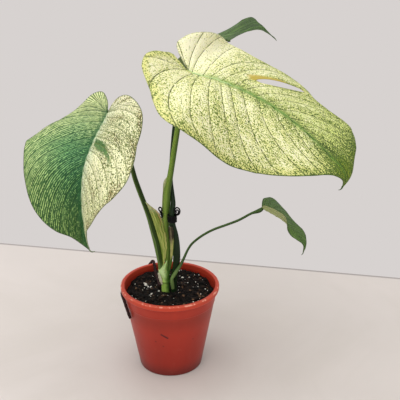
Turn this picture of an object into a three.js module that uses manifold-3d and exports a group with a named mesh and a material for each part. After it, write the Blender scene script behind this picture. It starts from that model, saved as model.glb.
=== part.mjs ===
import * as THREE from 'three';
import { mergeVertices } from 'three/addons/utils/BufferGeometryUtils.js';
import Module from 'manifold-3d';

// A young variegated monstera in a round nursery pot.
// Lengths are millimetres and angles degrees. The origin is on the ground under the
// middle of the pot, +Z is up, and the two large leaves hang towards -Y.

const wasm = await Module();
wasm.setup();

// Driving dimensions of the pot
const POT_HEIGHT = 90;
const LIP_RADIUS = 50;
const MOUTH_RADIUS = 46;
const LIP_HEIGHT = 5.2;
const SHOULDER_RADIUS = 47.2;
const STEP_RADIUS = 45.4;
const STEP_HEIGHT = 73;
const STEP_RISE = 0.5;
const FOOT_RADIUS = 32.4;
const FOOT_RING_WIDTH = 4;
const PAD_RADIUS = 9;
const BASE_RECESS = 1.4;
const POT_WALL = 1.6;
const FLOOR_TOP = 3.2;
const POT_SIDES = 48;
const FOOT_EDGE = 2;
const RING_TOP = 1.4;
const LIP_ROUND = 0.9;
const DRAIN_COUNT = 6;
const DRAIN_RADIUS = 3.5;
const DRAIN_CIRCLE = 19;
const DRAIN_SIDES = 12;

// Clearance between pieces that touch, and the extra that a faceted round needs
const FIT_GAP = 0.3;
const FACET_SLACK = 0.2;

// Driving dimensions of the soil
const SOIL_EDGE = 79.5;
const SOIL_MOUND = 3.2;
const SOIL_LUMP = 0.9;
const SOIL_RINGS = 9;
const SOIL_SECTORS = 30;
const GRAIN_COUNT = 30;
const GRAIN_RADIUS = [1.1, 2.0];
const GRAIN_SQUASH = [1.2, 0.9, 0.8];
const GRAIN_REACH = 41;
const GRAIN_SEED = 11;

// Holes in the soil that the stem and the back stalk stand in, as x, y and radius. No grain
// lies round the stems or under the aerial root.
const STEM_FOOT = 66;
const STEM_HOLES = [[-4.4, -3, 4.6], [4.5, -2, 3.7]];
const HOLE_SIDES = 16;
const BARE_ROUND_STEMS = 15;
const ROOT_STRIP = [-24, -5];

// Driving dimensions of the leaves
const BLADE_THICKNESS = 0.8;
const RIB_HALF_WIDTH = 1.7;
const MARGIN_STEPS = 30;
const VEIN_STEPS = [0.22, 0.47, 0.74, 1];
const VEIN_LEAD = 0.2;
const STALK_SIDES = 10;
const SLIM_SIDES = 8;
const STALK_STEP = 5;

// A leaf is set by the curve of its midrib, with the leaf stalk's joint as second point and
// the first point behind it, between the lobes. Its folds are the angles that each half
// rises at along the midrib, its arches how far each half then bends, over its whole width,
// and its outlines go from the joint round a lobe to the tip, in shares of the midrib and of
// the half width. The left half is the one on the side of the midrib crossed with the normal.
const LEAF_LEFT = {
  midrib: [[-51, 9, 288], [-56, -1, 270], [-67, -18, 250], [-76, -36, 226], [-78, -45, 200],
    [-76, -52, 177], [-72, -56, 154]],
  normal: [-0.69, -0.78, 0.26],
  halfWidth: 70,
  ribDepth: 2.2,
  folds: { at: [-0.2, 0.1, 0.5, 1], left: [2, 8, 30, 45], right: [11, 22, 27, 45] },
  arches: { at: [-0.2, 0.3, 1], left: [-0.5, -0.19, 0.26], right: [0.02, -0.64, -0.23] },
  outlines: {
    left: [[0, 0], [-0.09, 0.06], [-0.15, 0.2], [-0.14, 0.37], [-0.04, 0.61], [0.11, 0.84], [0.22, 1],
      [0.29, 1.09], [0.35, 1], [0.44, 0.87], [0.54, 0.79], [0.64, 0.71], [0.74, 0.57], [0.83, 0.39],
      [0.89, 0.19], [0.95, 0.08], [1, 0]],
    right: [[0, 0], [-0.06, 0.05], [-0.1, 0.14], [-0.125, 0.31], [-0.09, 0.57], [-0.02, 0.76],
      [0.09, 0.9], [0.18, 0.965], [0.28, 0.965], [0.41, 0.995], [0.48, 0.985], [0.57, 0.89],
      [0.69, 0.71], [0.78, 0.5], [0.88, 0.12], [1, 0]],
  },
  wave: { height: 1.2, count: 2.5 },
};

const LEAF_TOP = {
  midrib: [[5, 12, 327], [20, 4, 309], [47, -5, 302], [87, -19, 287], [121, -35, 266],
    [147, -50, 244], [156.5, -53, 235], [161, -53, 225], [159.4, -50, 213.5]],
  normal: [0.39, -0.37, 0.81],
  halfWidth: 92,
  ribDepth: 2.8,
  folds: { at: [-0.2, 0.1, 0.5, 1], left: [20, 20, -4, -5], right: [29, 5, 2, 16] },
  arches: { at: [-0.2, 0.3, 1], left: [-0.45, -0.56, -1.09], right: [-0.65, -0.43, -0.48] },
  outlines: {
    left: [[0, 0], [-0.05, 0.02], [-0.107, 0.06], [-0.127, 0.2], [-0.15, 0.37], [-0.15, 0.51],
      [-0.13, 0.61], [-0.1, 0.675], [-0.055, 0.73], [-0.01, 0.82], [0.02, 0.94], [0.06, 1.05],
      [0.11, 1.07], [0.17, 1.04], [0.26, 0.97], [0.4, 0.9], [0.49, 0.85], [0.59, 0.75], [0.69, 0.63],
      [0.75, 0.5], [0.8, 0.35], [0.835, 0.24], [0.88, 0.15], [0.93, 0.07], [1, 0]],
    right: [[0, 0], [-0.06, 0.03], [-0.12, 0.045], [-0.147, 0.09], [-0.153, 0.17], [-0.147, 0.31],
      [-0.13, 0.42], [-0.09, 0.6], [0, 0.87], [0.069, 0.98], [0.15, 0.95], [0.226, 0.94], [0.3, 0.965],
      [0.375, 0.99], [0.437, 0.92], [0.494, 0.81], [0.55, 0.68], [0.62, 0.63], [0.7, 0.63],
      [0.78, 0.59], [0.84, 0.51], [0.875, 0.39], [0.912, 0.22], [0.955, 0.1], [1, 0]],
  },
  wave: { height: 1.4, count: 2 },
};

const LEAF_BACK = {
  midrib: [[10, 90, 305.6], [22, 102, 307.6], [36.3, 118, 311.6], [48.3, 135, 311.6],
    [76.5, 137, 318.6], [94.8, 135, 321.6], [110, 134, 311.6]],
  normal: [0.07, -0.12, 0.97],
  halfWidth: 40,
  ribDepth: 1.8,
  folds: { at: [-0.2, 0.1, 0.5, 1], left: [11, 15, 5, 12], right: [-33, -17, 7, 42] },
  arches: { at: [-0.2, 0.3, 1], left: [-0.33, 0.1, -0.2], right: [-0.12, -0.9, 0] },
  outlines: {
    left: [[0, 0], [-0.07, 0.1], [-0.14, 0.3], [-0.15, 0.54], [-0.09, 0.75], [0.05, 0.84],
      [0.18, 0.72], [0.3, 0.58], [0.4, 0.62], [0.5, 0.84], [0.57, 0.82], [0.63, 0.5], [0.69, 0.25],
      [0.76, 0.2], [0.86, 0.2], [0.93, 0.09], [1, 0]],
    right: [[0, 0], [-0.08, 0.1], [-0.15, 0.32], [-0.16, 0.58], [-0.09, 0.82], [0.09, 0.98],
      [0.3, 0.97], [0.45, 0.87], [0.53, 0.75], [0.6, 0.66], [0.7, 0.6], [0.745, 0.53], [0.775, 0.4],
      [0.81, 0.2], [0.87, 0.07], [1, 0]],
  },
  wave: { height: 0.6, count: 2 },
};

const LEAF_SMALL = {
  midrib: [[85, -13, 184], [91, -12, 179], [101, -10, 170], [111, -8.6, 161], [119.6, -9, 152],
    [127, -12, 146], [132.4, -15, 140], [131.4, -16, 131.6]],
  normal: [0.29, -0.02, 0.9],
  halfWidth: 21,
  ribDepth: 0.9,
  folds: { at: [-0.2, 0.15, 0.45, 0.65, 1], left: [38, 42, 36, 20, 17], right: [35, 23, 12, 12, 21] },
  arches: { at: [-0.2, 0.3, 1], left: [0, 0, 0], right: [0, 0, 0] },
  outlines: {
    left: [[0, 0], [-0.02, 0.08], [-0.03, 0.24], [0.04, 0.45], [0.1, 0.68], [0.15, 0.8],
      [0.23, 0.8], [0.33, 0.71], [0.5, 0.6], [0.65, 0.5], [0.81, 0.36], [0.92, 0.13], [1, 0]],
    right: [[0, 0], [-0.02, 0.08], [-0.03, 0.24], [-0.02, 0.49], [0.05, 0.7], [0.14, 0.92],
      [0.3, 0.98], [0.4, 0.87], [0.5, 0.76], [0.62, 0.64], [0.72, 0.64], [0.79, 0.57], [0.85, 0.4],
      [0.915, 0.22], [0.95, 0.1], [1, 0]],
  },
  wave: { height: 0, count: 1 },
};

// The one slit of the large leaf, an oval on its right half, as distances along and across
// the midrib, half length, half width and turn
const SLIT = { along: 76, across: 46.5, halfLength: 27, halfWidth: 5.6, turn: 49, points: 18 };
const SLIT_CUT_DEPTH = 6;

// Stalk centrelines, as x, y, z and radius, from the foot to the leaf joint
const STALK_LEFT = [
  [-8.6, -1, 106.45, 2.7], [-8.8, -1, 110, 2.8], [-9.6, -0.8, 117, 3], [-11.6, 0, 130, 3.4],
  [-16.1, 1, 150, 3.2], [-19.9, 2, 164, 2.8], [-24, 3, 176, 2.5], [-28.2, 4, 188, 2.5],
  [-32.4, 5, 201, 2.4], [-36, 5.4, 216, 2.2], [-41, 5.8, 231, 2.1], [-46.6, 5.8, 246, 2.1],
  [-50.6, 5, 258, 2.4], [-53, 2.4, 268.8, 2.5],
];
const STALK_CENTRE = [
  [-2.3, 1.2, 106.45, 2.6], [-2.2, 1.5, 111, 2.7], [-1.8, 2.4, 126, 2.8], [-2.2, 3.2, 142, 3],
  [-3, 3.6, 156, 3.2], [-2.5, 2.9, 166, 3.2], [-1.9, 1.4, 175, 3.4], [-1.4, -0.6, 188, 3.3],
  [1.8, -1.5, 207, 2.9], [5.7, -1.6, 231, 2.7], [9.5, -1.2, 255, 2.6], [13.1, -0.4, 277, 2.6],
  [16.2, 2, 294, 2.8], [18, 5.4, 305.25, 2.9],
];
const STALK_BACK = [
  [4.5, -2, 66, 3.1], [4.5, -2, 80, 3.2], [4.6, -2, 96, 3.2], [6.2, -2, 108, 3.4],
  [7.2, -2.4, 119, 3.6], [7.2, -3, 130, 3.6], [6, -3.5, 145, 3.2], [3.3, -3.6, 158, 3],
  [3, -3.2, 167.4, 2.7], [4.5, 0.4, 177, 2.2], [3.6, 4, 187, 1.9], [2.3, 5.5, 198, 1.9],
  [2.4, 5.6, 211, 1.9], [3.2, 5.8, 223, 1.9], [4.4, 7, 237, 1.9], [6, 11, 252, 1.9],
  [9, 22, 269, 2], [13, 45, 285, 2], [17, 72, 296, 2], [21.5, 100.4, 303.55, 2.2],
];
const STALK_SMALL = [
  [2.2, -7.3, 98.5, 1.7], [4.9, -7.8, 104, 1.8], [8.3, -7.6, 109.6, 1.7], [11.9, -5.3, 114.8, 1.5],
  [15, -2, 120.6, 1.3], [18.2, 0.6, 127, 1.2], [21.6, 1, 132.6, 1.2], [26.1, 0, 137.8, 1.2],
  [33, -1.4, 144, 1.2], [43, -3.6, 151, 1.2], [55, -6, 157, 1.2], [68.5, -8, 163.6, 1.2],
  [80, -10.2, 171.4, 1.2], [90.3, -12, 177.2, 1.3],
];

// Thin wings of the leaf sheaths, from foot height to top height. The wing of the left
// stalk spans to the centre stalk, and that of the centre stalk is a narrow flange.
const WING_EDGE = 12;
const WING_FULL = 2;
const SHEATH_LEFT = { from: 112, to: 178, width: 7.6, widest: 0.62, side: -98 };
const SHEATH_CENTRE = { from: 118, to: 206, width: 1.4, widest: 0.7, side: 95 };

// Sections of the short stem, as x, y, z, half width and half depth
const STEM = [
  [-4.5, -3, 66, 3.6, 3.6], [-4.4, -3, 78, 3.9, 3.8], [-4.3, -3, 88, 4.1, 4],
  [-4.3, -3, 92.6, 4.2, 4.1], [-4.3, -3, 94, 4.7, 4.6], [-4.4, -2.8, 95.6, 4.4, 4.4],
  [-5, -2.4, 100, 5, 4.5], [-5.4, -1.4, 104, 6, 5], [-5.4, -0.6, 106, 6.1, 4.8],
];
const STEM_SIDES = 14;

// Dried remains of old sheaths: a strip in front of the back stalk, and a scale on the stem
const DRIED_STRIP = [
  [-0.4, -4.9, 106.4, 1], [0.6, -6.2, 112, 1.1], [1.6, -7.4, 119, 1.4], [2.4, -8, 130, 1.7],
  [2.7, -8.3, 138, 2.1], [2.3, -8.5, 148, 2.4], [1.7, -8.6, 156.6, 2.3],
];
const OLD_SCALE = [
  [-8, -7.6, 92.6, 0.8], [-8.8, -7.5, 95, 1.6], [-9.6, -7.2, 98, 2], [-10.4, -6.8, 101.4, 1.7],
  [-11.4, -6.2, 105, 0.7],
];
const STRIP_THICKNESS = 0.8;
const STRIP_CURL = 0.25;
const STRIP_HEADING = -90;
const SCALE_HEADING = 235;

// The wire tie: a coil round the back stalk, a loop to its right, and a twisted tail that
// passes behind the centre stalk
const WIRE_RADIUS = 0.6;
const WIRE_SIDES = 6;
const WIRE_STEP = 2;
const COIL = { x: 3.2, y: -3.5, from: 160, pitch: 2.1, turns: 3.25, radius: 4.1, steps: 12 };
const TIE_TAIL = [
  [-8.8, 2.2, 172.6], [-7.3, 2.6, 171.6], [-7, 3.2, 169.6], [-8.6, 3.9, 167.8],
  [-8.9, 5.4, 165.2], [-7.4, 7.6, 162.8], [-4, 9, 161.2], [-0.3, 7.8, 160.5], [1.5, 4.2, 160],
];
const TIE_LOOP = [
  [7.6, -5.4, 167.6], [9.7, -5.9, 168.8], [10.8, -5.4, 171.4], [9.8, -4.8, 174.4], [7.6, -4.9, 175.4],
  [5.9, -5.6, 173.4], [5.8, -6.2, 170.6],
];

// The aerial root: from the stem over the soil, over the lip at the back and down the side
const AERIAL_ROOT = [
  [-10.4, 3.4, 85.6, 1.3], [-12, 12, 84.6, 1.4], [-14.6, 26, 83.8, 1.5], [-16.6, 35, 86, 1.5],
  [-17.8, 41.6, 91.4, 1.5], [-19.4, 46.4, 92.8, 1.5], [-21.4, 49.8, 89.2, 1.5], [-26, 47, 83, 1.5],
  [-33, 37.6, 80.6, 1.5], [-40.6, 27.6, 80, 1.5], [-46, 15.6, 80, 1.5], [-48.6, 3, 80.4, 1.5],
  [-47.9, -9.6, 80.8, 1.5], [-45.5, -17.2, 79.6, 1.5], [-43.9, -20.2, 75.6, 1.5], [-42, -21.8, 70.5, 1.5],
  [-40.5, -22.3, 65.5, 1.5], [-39.4, -22.5, 62, 1.4],
];

const COLORS = {
  terracotta: 0xa83f2c,
  soil: 0x241c17,
  lightGreen: 0x86ac5a,
  green: 0x3f7d35,
  darkGreen: 0x1f4a22,
  cream: 0xe4e6b4,
  straw: 0x9c8f5a,
  paper: 0xd8d2b8,
  black: 0x14161c,
  bark: 0x3a2620,
};

const rad = THREE.MathUtils.degToRad;

// Numbers along a line of stations, joined by a smooth curve that passes through them
function smoothRun(stations, values) {
  const slopes = stations.slice(1).map((s, i) => (values[i + 1] - values[i]) / (s - stations[i]));
  const tangents = stations.map((s, i) => {
    if (i === 0) return slopes[0];
    if (i === slopes.length) return slopes[i - 1];
    const before = s - stations[i - 1];
    const after = stations[i + 1] - s;
    return (slopes[i - 1] * after + slopes[i] * before) / (before + after);
  });
  return (x) => {
    const inside = THREE.MathUtils.clamp(x, stations[0], stations[stations.length - 1]);
    let i = 0;
    while (i < slopes.length - 1 && inside > stations[i + 1]) i += 1;
    const width = stations[i + 1] - stations[i];
    const u = (inside - stations[i]) / width;
    const rise = (2 * u ** 3 - 3 * u ** 2 + 1) * values[i] + (3 * u ** 2 - 2 * u ** 3) * values[i + 1];
    const lean = (u ** 3 - 2 * u ** 2 + u) * tangents[i] + (u ** 3 - u ** 2) * tangents[i + 1];
    return rise + width * lean;
  };
}

function curveThrough(points) {
  const vectors = points.map((p) => new THREE.Vector3(p[0], p[1], p[2] || 0));
  const curve = new THREE.CatmullRomCurve3(vectors, false, 'chordal');
  curve.arcLengthDivisions = 40 * (points.length - 1);
  return curve;
}

// A closed mesh from its corners, given as vectors, and its triangles
function closedGeometry(corners, triangles) {
  const geometry = new THREE.BufferGeometry();
  const positions = corners.flatMap((v) => [v.x, v.y, v.z]);
  geometry.setAttribute('position', new THREE.Float32BufferAttribute(positions, 3));
  geometry.setIndex(signedVolume(corners, triangles) < 0
    ? triangles.flatMap(([a, b, c]) => [a, c, b]) : triangles.flat());
  geometry.computeVertexNormals();
  return geometry;
}

function signedVolume(corners, triangles) {
  const cross = new THREE.Vector3();
  return triangles.reduce((sum, [a, b, c]) => (
    sum + corners[a].dot(cross.crossVectors(corners[b], corners[c])) / 6), 0);
}

function toSolid(geometry) {
  const plain = geometry.clone();
  plain.deleteAttribute('normal');
  plain.deleteAttribute('uv');
  const merged = mergeVertices(plain, 1e-4);
  return new wasm.Manifold(new wasm.Mesh({
    numProp: 3,
    vertProperties: new Float32Array(merged.attributes.position.array),
    triVerts: new Uint32Array(merged.index.array),
  }));
}

function fromSolid(solid) {
  const mesh = solid.getMesh();
  const geometry = new THREE.BufferGeometry();
  geometry.setAttribute('position', new THREE.BufferAttribute(mesh.vertProperties, 3));
  geometry.setIndex(new THREE.BufferAttribute(mesh.triVerts, 1));
  geometry.computeVertexNormals();
  return geometry;
}

// Rings of equal size joined into a tube with closed ends
function ringStack(rings) {
  const sides = rings[0].length;
  const corners = rings.flat();
  const triangles = [];
  for (let i = 0; i < rings.length - 1; i += 1) {
    for (let k = 0; k < sides; k += 1) {
      const a = i * sides + k;
      const b = i * sides + ((k + 1) % sides);
      triangles.push([a, b, b + sides], [a, b + sides, a + sides]);
    }
  }
  const last = (rings.length - 1) * sides;
  for (let k = 1; k < sides - 1; k += 1) {
    triangles.push([0, k + 1, k], [last, last + k, last + k + 1]);
  }
  return closedGeometry(corners, triangles);
}

// Across and along directions of a section whose tangent is given; the first looks to +Y
function sectionAxes(tangent) {
  const away = new THREE.Vector3(0, 1, 0).addScaledVector(tangent, -tangent.y).normalize();
  return [away, new THREE.Vector3().crossVectors(tangent, away)];
}

// A stalk along a centreline whose fourth numbers are radii. A sheath adds a thin wing that
// stands out of each section at one angle and fades to nothing at both ends.
function stalkGeometry(centreline, sides, step, sheath) {
  const curve = curveThrough(centreline);
  const length = curve.getLength();
  const shares = centreline.map((p, i) => shareOfPoint(curve, centreline.length, i));
  const radiusAt = smoothRun(shares, centreline.map((p) => p[3]));
  const count = Math.max(2, Math.round(length / step));
  const rings = [];
  for (let i = 0; i <= count; i += 1) {
    const share = i / count;
    const centre = curve.getPointAt(share);
    const [away, left] = sectionAxes(curve.getTangentAt(share));
    const radius = radiusAt(share);
    const wing = sheath ? wingWidth(sheath, centre.z) : 0;
    const ring = [];
    for (let k = 0; k < sides; k += 1) {
      const angle = (2 * Math.PI * k) / sides + (sheath ? rad(sheath.side) : 0);
      const reach = sheath && k === 0 ? radius + wing : radius;
      const spread = sheath && (k === 1 || k === sides - 1) ? wingRoot(k, sides, wing) : 0;
      ring.push(centre.clone()
        .addScaledVector(away, Math.cos(angle + spread) * reach)
        .addScaledVector(left, Math.sin(angle + spread) * reach));
    }
    rings.push(ring);
  }
  return ringStack(rings);
}

// Share of the curve's length at which its control point lies
function shareOfPoint(curve, pointCount, index) {
  const lengths = curve.getLengths();
  const step = (lengths.length - 1) / (pointCount - 1);
  return lengths[index * step] / lengths[lengths.length - 1];
}

function wingWidth(sheath, height) {
  const share = THREE.MathUtils.clamp((height - sheath.from) / (sheath.to - sheath.from), 0, 1);
  const rise = share < sheath.widest ? share / sheath.widest : (1 - share) / (1 - sheath.widest);
  return sheath.width * rise;
}

// Beside the wing the section's next corners close in, so that the wing stays thin
function wingRoot(k, sides, wing) {
  const close = rad(360 / sides - WING_EDGE) * Math.min(1, wing / WING_FULL);
  return k === 1 ? -close : close;
}

// Outer radius of the pot's tapered body, and its inner radius up to under the lip
function bodyRadius(z) {
  return THREE.MathUtils.mapLinear(z, FOOT_EDGE, STEP_HEIGHT, FOOT_RADIUS, STEP_RADIUS);
}

function innerRadius(z) {
  if (z <= STEP_HEIGHT) return bodyRadius(z) - POT_WALL;
  const neckHeight = POT_HEIGHT - LIP_HEIGHT - 2;
  return THREE.MathUtils.mapLinear(z, STEP_HEIGHT, neckHeight, innerRadius(STEP_HEIGHT), MOUTH_RADIUS - 0.4);
}

function potGeometry() {
  const lipBottom = POT_HEIGHT - LIP_HEIGHT;
  const ringInside = FOOT_RADIUS - FOOT_RING_WIDTH;
  const profile = [
    [0, 0], [PAD_RADIUS, 0], [PAD_RADIUS + 0.8, BASE_RECESS],
    [ringInside - 0.8, BASE_RECESS], [ringInside, 0],
    [FOOT_RADIUS - 1.4, 0], [FOOT_RADIUS - 0.4, 0.5], [FOOT_RADIUS, FOOT_EDGE],
    [STEP_RADIUS, STEP_HEIGHT], [STEP_RADIUS + STEP_RISE, STEP_HEIGHT + RING_TOP - 0.8],
    [STEP_RADIUS + STEP_RISE, STEP_HEIGHT + RING_TOP],
    [SHOULDER_RADIUS, lipBottom], [LIP_RADIUS - 0.7, lipBottom - 0.2], [LIP_RADIUS, lipBottom + 0.7],
    [LIP_RADIUS, POT_HEIGHT - LIP_ROUND], [LIP_RADIUS - LIP_ROUND, POT_HEIGHT],
    [MOUTH_RADIUS + 0.6, POT_HEIGHT], [MOUTH_RADIUS, POT_HEIGHT - 0.7],
    [MOUTH_RADIUS - 0.4, lipBottom - 2], [innerRadius(STEP_HEIGHT), STEP_HEIGHT],
    [innerRadius(FLOOR_TOP + 2), FLOOR_TOP + 2], [innerRadius(FLOOR_TOP) - 2, FLOOR_TOP], [0, FLOOR_TOP],
  ];
  const body = new THREE.LatheGeometry(profile.map(([r, z]) => new THREE.Vector2(r, z)), POT_SIDES);
  body.rotateX(Math.PI / 2);
  let solid = toSolid(body);
  for (let i = 0; i < DRAIN_COUNT; i += 1) {
    const angle = (2 * Math.PI * (i + 0.5)) / DRAIN_COUNT;
    const drain = new THREE.CylinderGeometry(DRAIN_RADIUS, DRAIN_RADIUS, 4 * FLOOR_TOP, DRAIN_SIDES);
    drain.rotateX(Math.PI / 2);
    drain.translate(DRAIN_CIRCLE * Math.cos(angle), DRAIN_CIRCLE * Math.sin(angle), 0);
    solid = solid.subtract(toSolid(drain));
  }
  return fromSolid(solid);
}

// Height of the soil over a point of the ground plane
function soilHeight(x, y) {
  const share = Math.hypot(x, y) / MOUTH_RADIUS;
  const lumps = Math.sin(0.31 * x + 1.3) * Math.cos(0.27 * y - 0.4) + 0.6 * Math.sin(0.53 * y + 0.21 * x);
  return SOIL_EDGE + SOIL_MOUND * (1 - share ** 2) + SOIL_LUMP * lumps;
}

// Repeatable random numbers between 0 and 1
function seededRandom(seed) {
  let state = seed;
  return () => {
    state = (state * 16807) % 2147483647;
    return state / 2147483647;
  };
}

function soilGeometry() {
  const top = new THREE.Vector3(0, 0, soilHeight(0, 0));
  const bottomHeight = FLOOR_TOP + FIT_GAP;
  const edge = FIT_GAP + FACET_SLACK;
  const rimRadius = innerRadius(SOIL_EDGE) - edge;
  const rings = [];
  const ringAt = (radius, heightAt) => Array.from({ length: SOIL_SECTORS }, (unused, k) => {
    const angle = (2 * Math.PI * k) / SOIL_SECTORS;
    const x = radius * Math.cos(angle);
    const y = radius * Math.sin(angle);
    return new THREE.Vector3(x, y, heightAt(x, y));
  });
  for (let i = 1; i <= SOIL_RINGS; i += 1) rings.push(ringAt((rimRadius * i) / SOIL_RINGS, soilHeight));
  rings.push(ringAt(innerRadius(STEP_HEIGHT) - edge, () => STEP_HEIGHT));
  rings.push(ringAt(innerRadius(FLOOR_TOP + 2) - edge, () => FLOOR_TOP + 2 + FIT_GAP));
  rings.push(ringAt(innerRadius(FLOOR_TOP) - 2 - FIT_GAP, () => bottomHeight));
  const corners = [top, ...rings.flat(), new THREE.Vector3(0, 0, bottomHeight)];
  const triangles = [];
  const index = (ring, k) => 1 + ring * SOIL_SECTORS + (k % SOIL_SECTORS);
  for (let k = 0; k < SOIL_SECTORS; k += 1) {
    triangles.push([0, index(0, k), index(0, k + 1)]);
    for (let r = 0; r < rings.length - 1; r += 1) {
      triangles.push([index(r, k), index(r + 1, k), index(r + 1, k + 1)]);
      triangles.push([index(r, k), index(r + 1, k + 1), index(r, k + 1)]);
    }
    triangles.push([corners.length - 1, index(rings.length - 1, k + 1), index(rings.length - 1, k)]);
  }
  return closedGeometry(corners, triangles);
}

// Perlite grains and bark chips, half sunk in the soil
function soilGrains() {
  const random = seededRandom(GRAIN_SEED);
  const grains = [];
  while (grains.length < GRAIN_COUNT) {
    const radius = GRAIN_REACH * Math.sqrt(random());
    const angle = 2 * Math.PI * random();
    const size = GRAIN_RADIUS[0] + (GRAIN_RADIUS[1] - GRAIN_RADIUS[0]) * random();
    const [x, y] = [radius * Math.cos(angle), radius * Math.sin(angle)];
    const nearStem = Math.hypot(x, y) < BARE_ROUND_STEMS;
    const nearRoot = x > ROOT_STRIP[0] && x < ROOT_STRIP[1] && y > 0;
    const grain = new THREE.IcosahedronGeometry(size, 0);
    grain.rotateZ(2 * Math.PI * random());
    grain.scale(...GRAIN_SQUASH);
    grain.translate(x, y, soilHeight(x, y));
    if (!nearStem && !nearRoot) grains.push(toSolid(grain));
  }
  return grains;
}

function soilSolid() {
  let solid = toSolid(soilGeometry());
  for (const grain of soilGrains()) solid = solid.add(grain);
  const bottom = STEM_FOOT - FIT_GAP;
  const depth = POT_HEIGHT - bottom;
  for (const [x, y, radius] of STEM_HOLES) {
    const cutter = new THREE.CylinderGeometry(radius, radius, depth, HOLE_SIDES);
    cutter.rotateX(Math.PI / 2);
    cutter.translate(x, y, bottom + depth / 2);
    solid = solid.subtract(toSolid(cutter));
  }
  return fromSolid(solid);
}

function stemGeometry() {
  const rings = STEM.map(([x, y, z, halfWidth, halfDepth]) => Array.from({ length: STEM_SIDES }, (unused, k) => {
    const angle = (2 * Math.PI * k) / STEM_SIDES;
    return new THREE.Vector3(x + halfWidth * Math.cos(angle), y + halfDepth * Math.sin(angle), z);
  }));
  return ringStack(rings);
}

// A thin strip along a centreline whose fourth numbers are half widths, with its flat side
// turned to one heading in the ground plane
function stripGeometry(centreline, heading) {
  const across = new THREE.Vector3(-Math.sin(rad(heading)), Math.cos(rad(heading)), 0);
  const out = new THREE.Vector3(Math.cos(rad(heading)), Math.sin(rad(heading)), 0);
  const rings = centreline.map(([x, y, z, half]) => {
    const centre = new THREE.Vector3(x, y, z);
    const corner = (side, face, curl) => centre.clone()
      .addScaledVector(across, side * half)
      .addScaledVector(out, face * STRIP_THICKNESS / 2 - curl * half * STRIP_CURL);
    return [corner(-1, -1, 1), corner(0, -1, 0), corner(1, -1, 1), corner(1, 1, 1), corner(0, 1, 0),
      corner(-1, 1, 1)];
  });
  return ringStack(rings);
}

function coilPoints() {
  const points = [];
  for (let i = 0; i <= COIL.turns * COIL.steps; i += 1) {
    const angle = Math.PI / 2 - (2 * Math.PI * i) / COIL.steps;
    points.push([COIL.x + COIL.radius * Math.cos(angle), COIL.y + COIL.radius * Math.sin(angle),
      COIL.from + (COIL.pitch * i) / COIL.steps]);
  }
  return points;
}

// The tie is one tube whose sections turn with the curve, as it doubles back
function wireGeometry() {
  const curve = curveThrough([...TIE_TAIL, ...coilPoints(), ...TIE_LOOP]);
  const count = Math.round(curve.getLength() / WIRE_STEP);
  const frames = curve.computeFrenetFrames(count, false);
  const rings = [];
  for (let i = 0; i <= count; i += 1) {
    const centre = curve.getPointAt(i / count);
    rings.push(Array.from({ length: WIRE_SIDES }, (unused, k) => {
      const angle = (2 * Math.PI * k) / WIRE_SIDES;
      return centre.clone()
        .addScaledVector(frames.normals[i], Math.cos(angle) * WIRE_RADIUS)
        .addScaledVector(frames.binormals[i], Math.sin(angle) * WIRE_RADIUS);
    }));
  }
  return ringStack(rings);
}

// The bent surface of a leaf: at() takes a distance along the midrib from the joint, a
// distance across it and a half, +1 for the left one, and gives the point on the middle of
// the blade; facing() gives the direction in which its upper face looks there.
function leafSurface(leaf) {
  const curve = curveThrough(leaf.midrib);
  const total = curve.getLength();
  const behind = shareOfPoint(curve, leaf.midrib.length, 1) * total;
  const length = total - behind;
  const upright = new THREE.Vector3(...leaf.normal);
  const fold = { 1: smoothRun(leaf.folds.at, leaf.folds.left), [-1]: smoothRun(leaf.folds.at, leaf.folds.right) };
  const arch = { 1: smoothRun(leaf.arches.at, leaf.arches.left), [-1]: smoothRun(leaf.arches.at, leaf.arches.right) };

  const frameAt = (along) => {
    const share = THREE.MathUtils.clamp((along + behind) / total, 0, 1);
    const tangent = curve.getTangentAt(share);
    const centre = curve.getPointAt(share).addScaledVector(tangent, Math.min(along + behind, 0));
    const normal = upright.clone().addScaledVector(tangent, -upright.dot(tangent)).normalize();
    return { centre, normal, across: new THREE.Vector3().crossVectors(tangent, normal) };
  };
  const at = (along, across, side) => {
    const frame = frameAt(along);
    const share = along / length;
    const start = rad(fold[side](share));
    const bend = (arch[side](share) || 1e-4) / leaf.halfWidth;
    const end = start + bend * across;
    const wave = leaf.wave.height * (across / leaf.halfWidth) ** 2
      * Math.sin(2 * Math.PI * leaf.wave.count * share + side);
    return frame.centre.clone()
      .addScaledVector(frame.across, (side * (Math.sin(end) - Math.sin(start))) / bend)
      .addScaledVector(frame.normal, (Math.cos(start) - Math.cos(end)) / bend + wave);
  };
  const facing = (along, across, side) => {
    const near = Math.max(across, 0.5);
    const alongWay = at(along + 0.4, near, side).sub(at(along - 0.4, near, side));
    const acrossWay = at(along, near + 0.4, side).sub(at(along, near - 0.4, side));
    return acrossWay.cross(alongWay).multiplyScalar(side).normalize();
  };
  return { length, frameAt, at, facing };
}

// A point of the flat leaf on the side vein that leaves the midrib at foot and ends at the
// margin, at a share of the way
function veinPoint(foot, margin, share) {
  const bendAlong = foot + 0.25 * (margin.x - foot);
  const bendAcross = 0.55 * margin.y;
  const rest = 1 - share;
  return [
    rest * rest * foot + 2 * rest * share * bendAlong + share * share * margin.x,
    2 * rest * share * bendAcross + share * share * margin.y,
  ];
}

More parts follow.
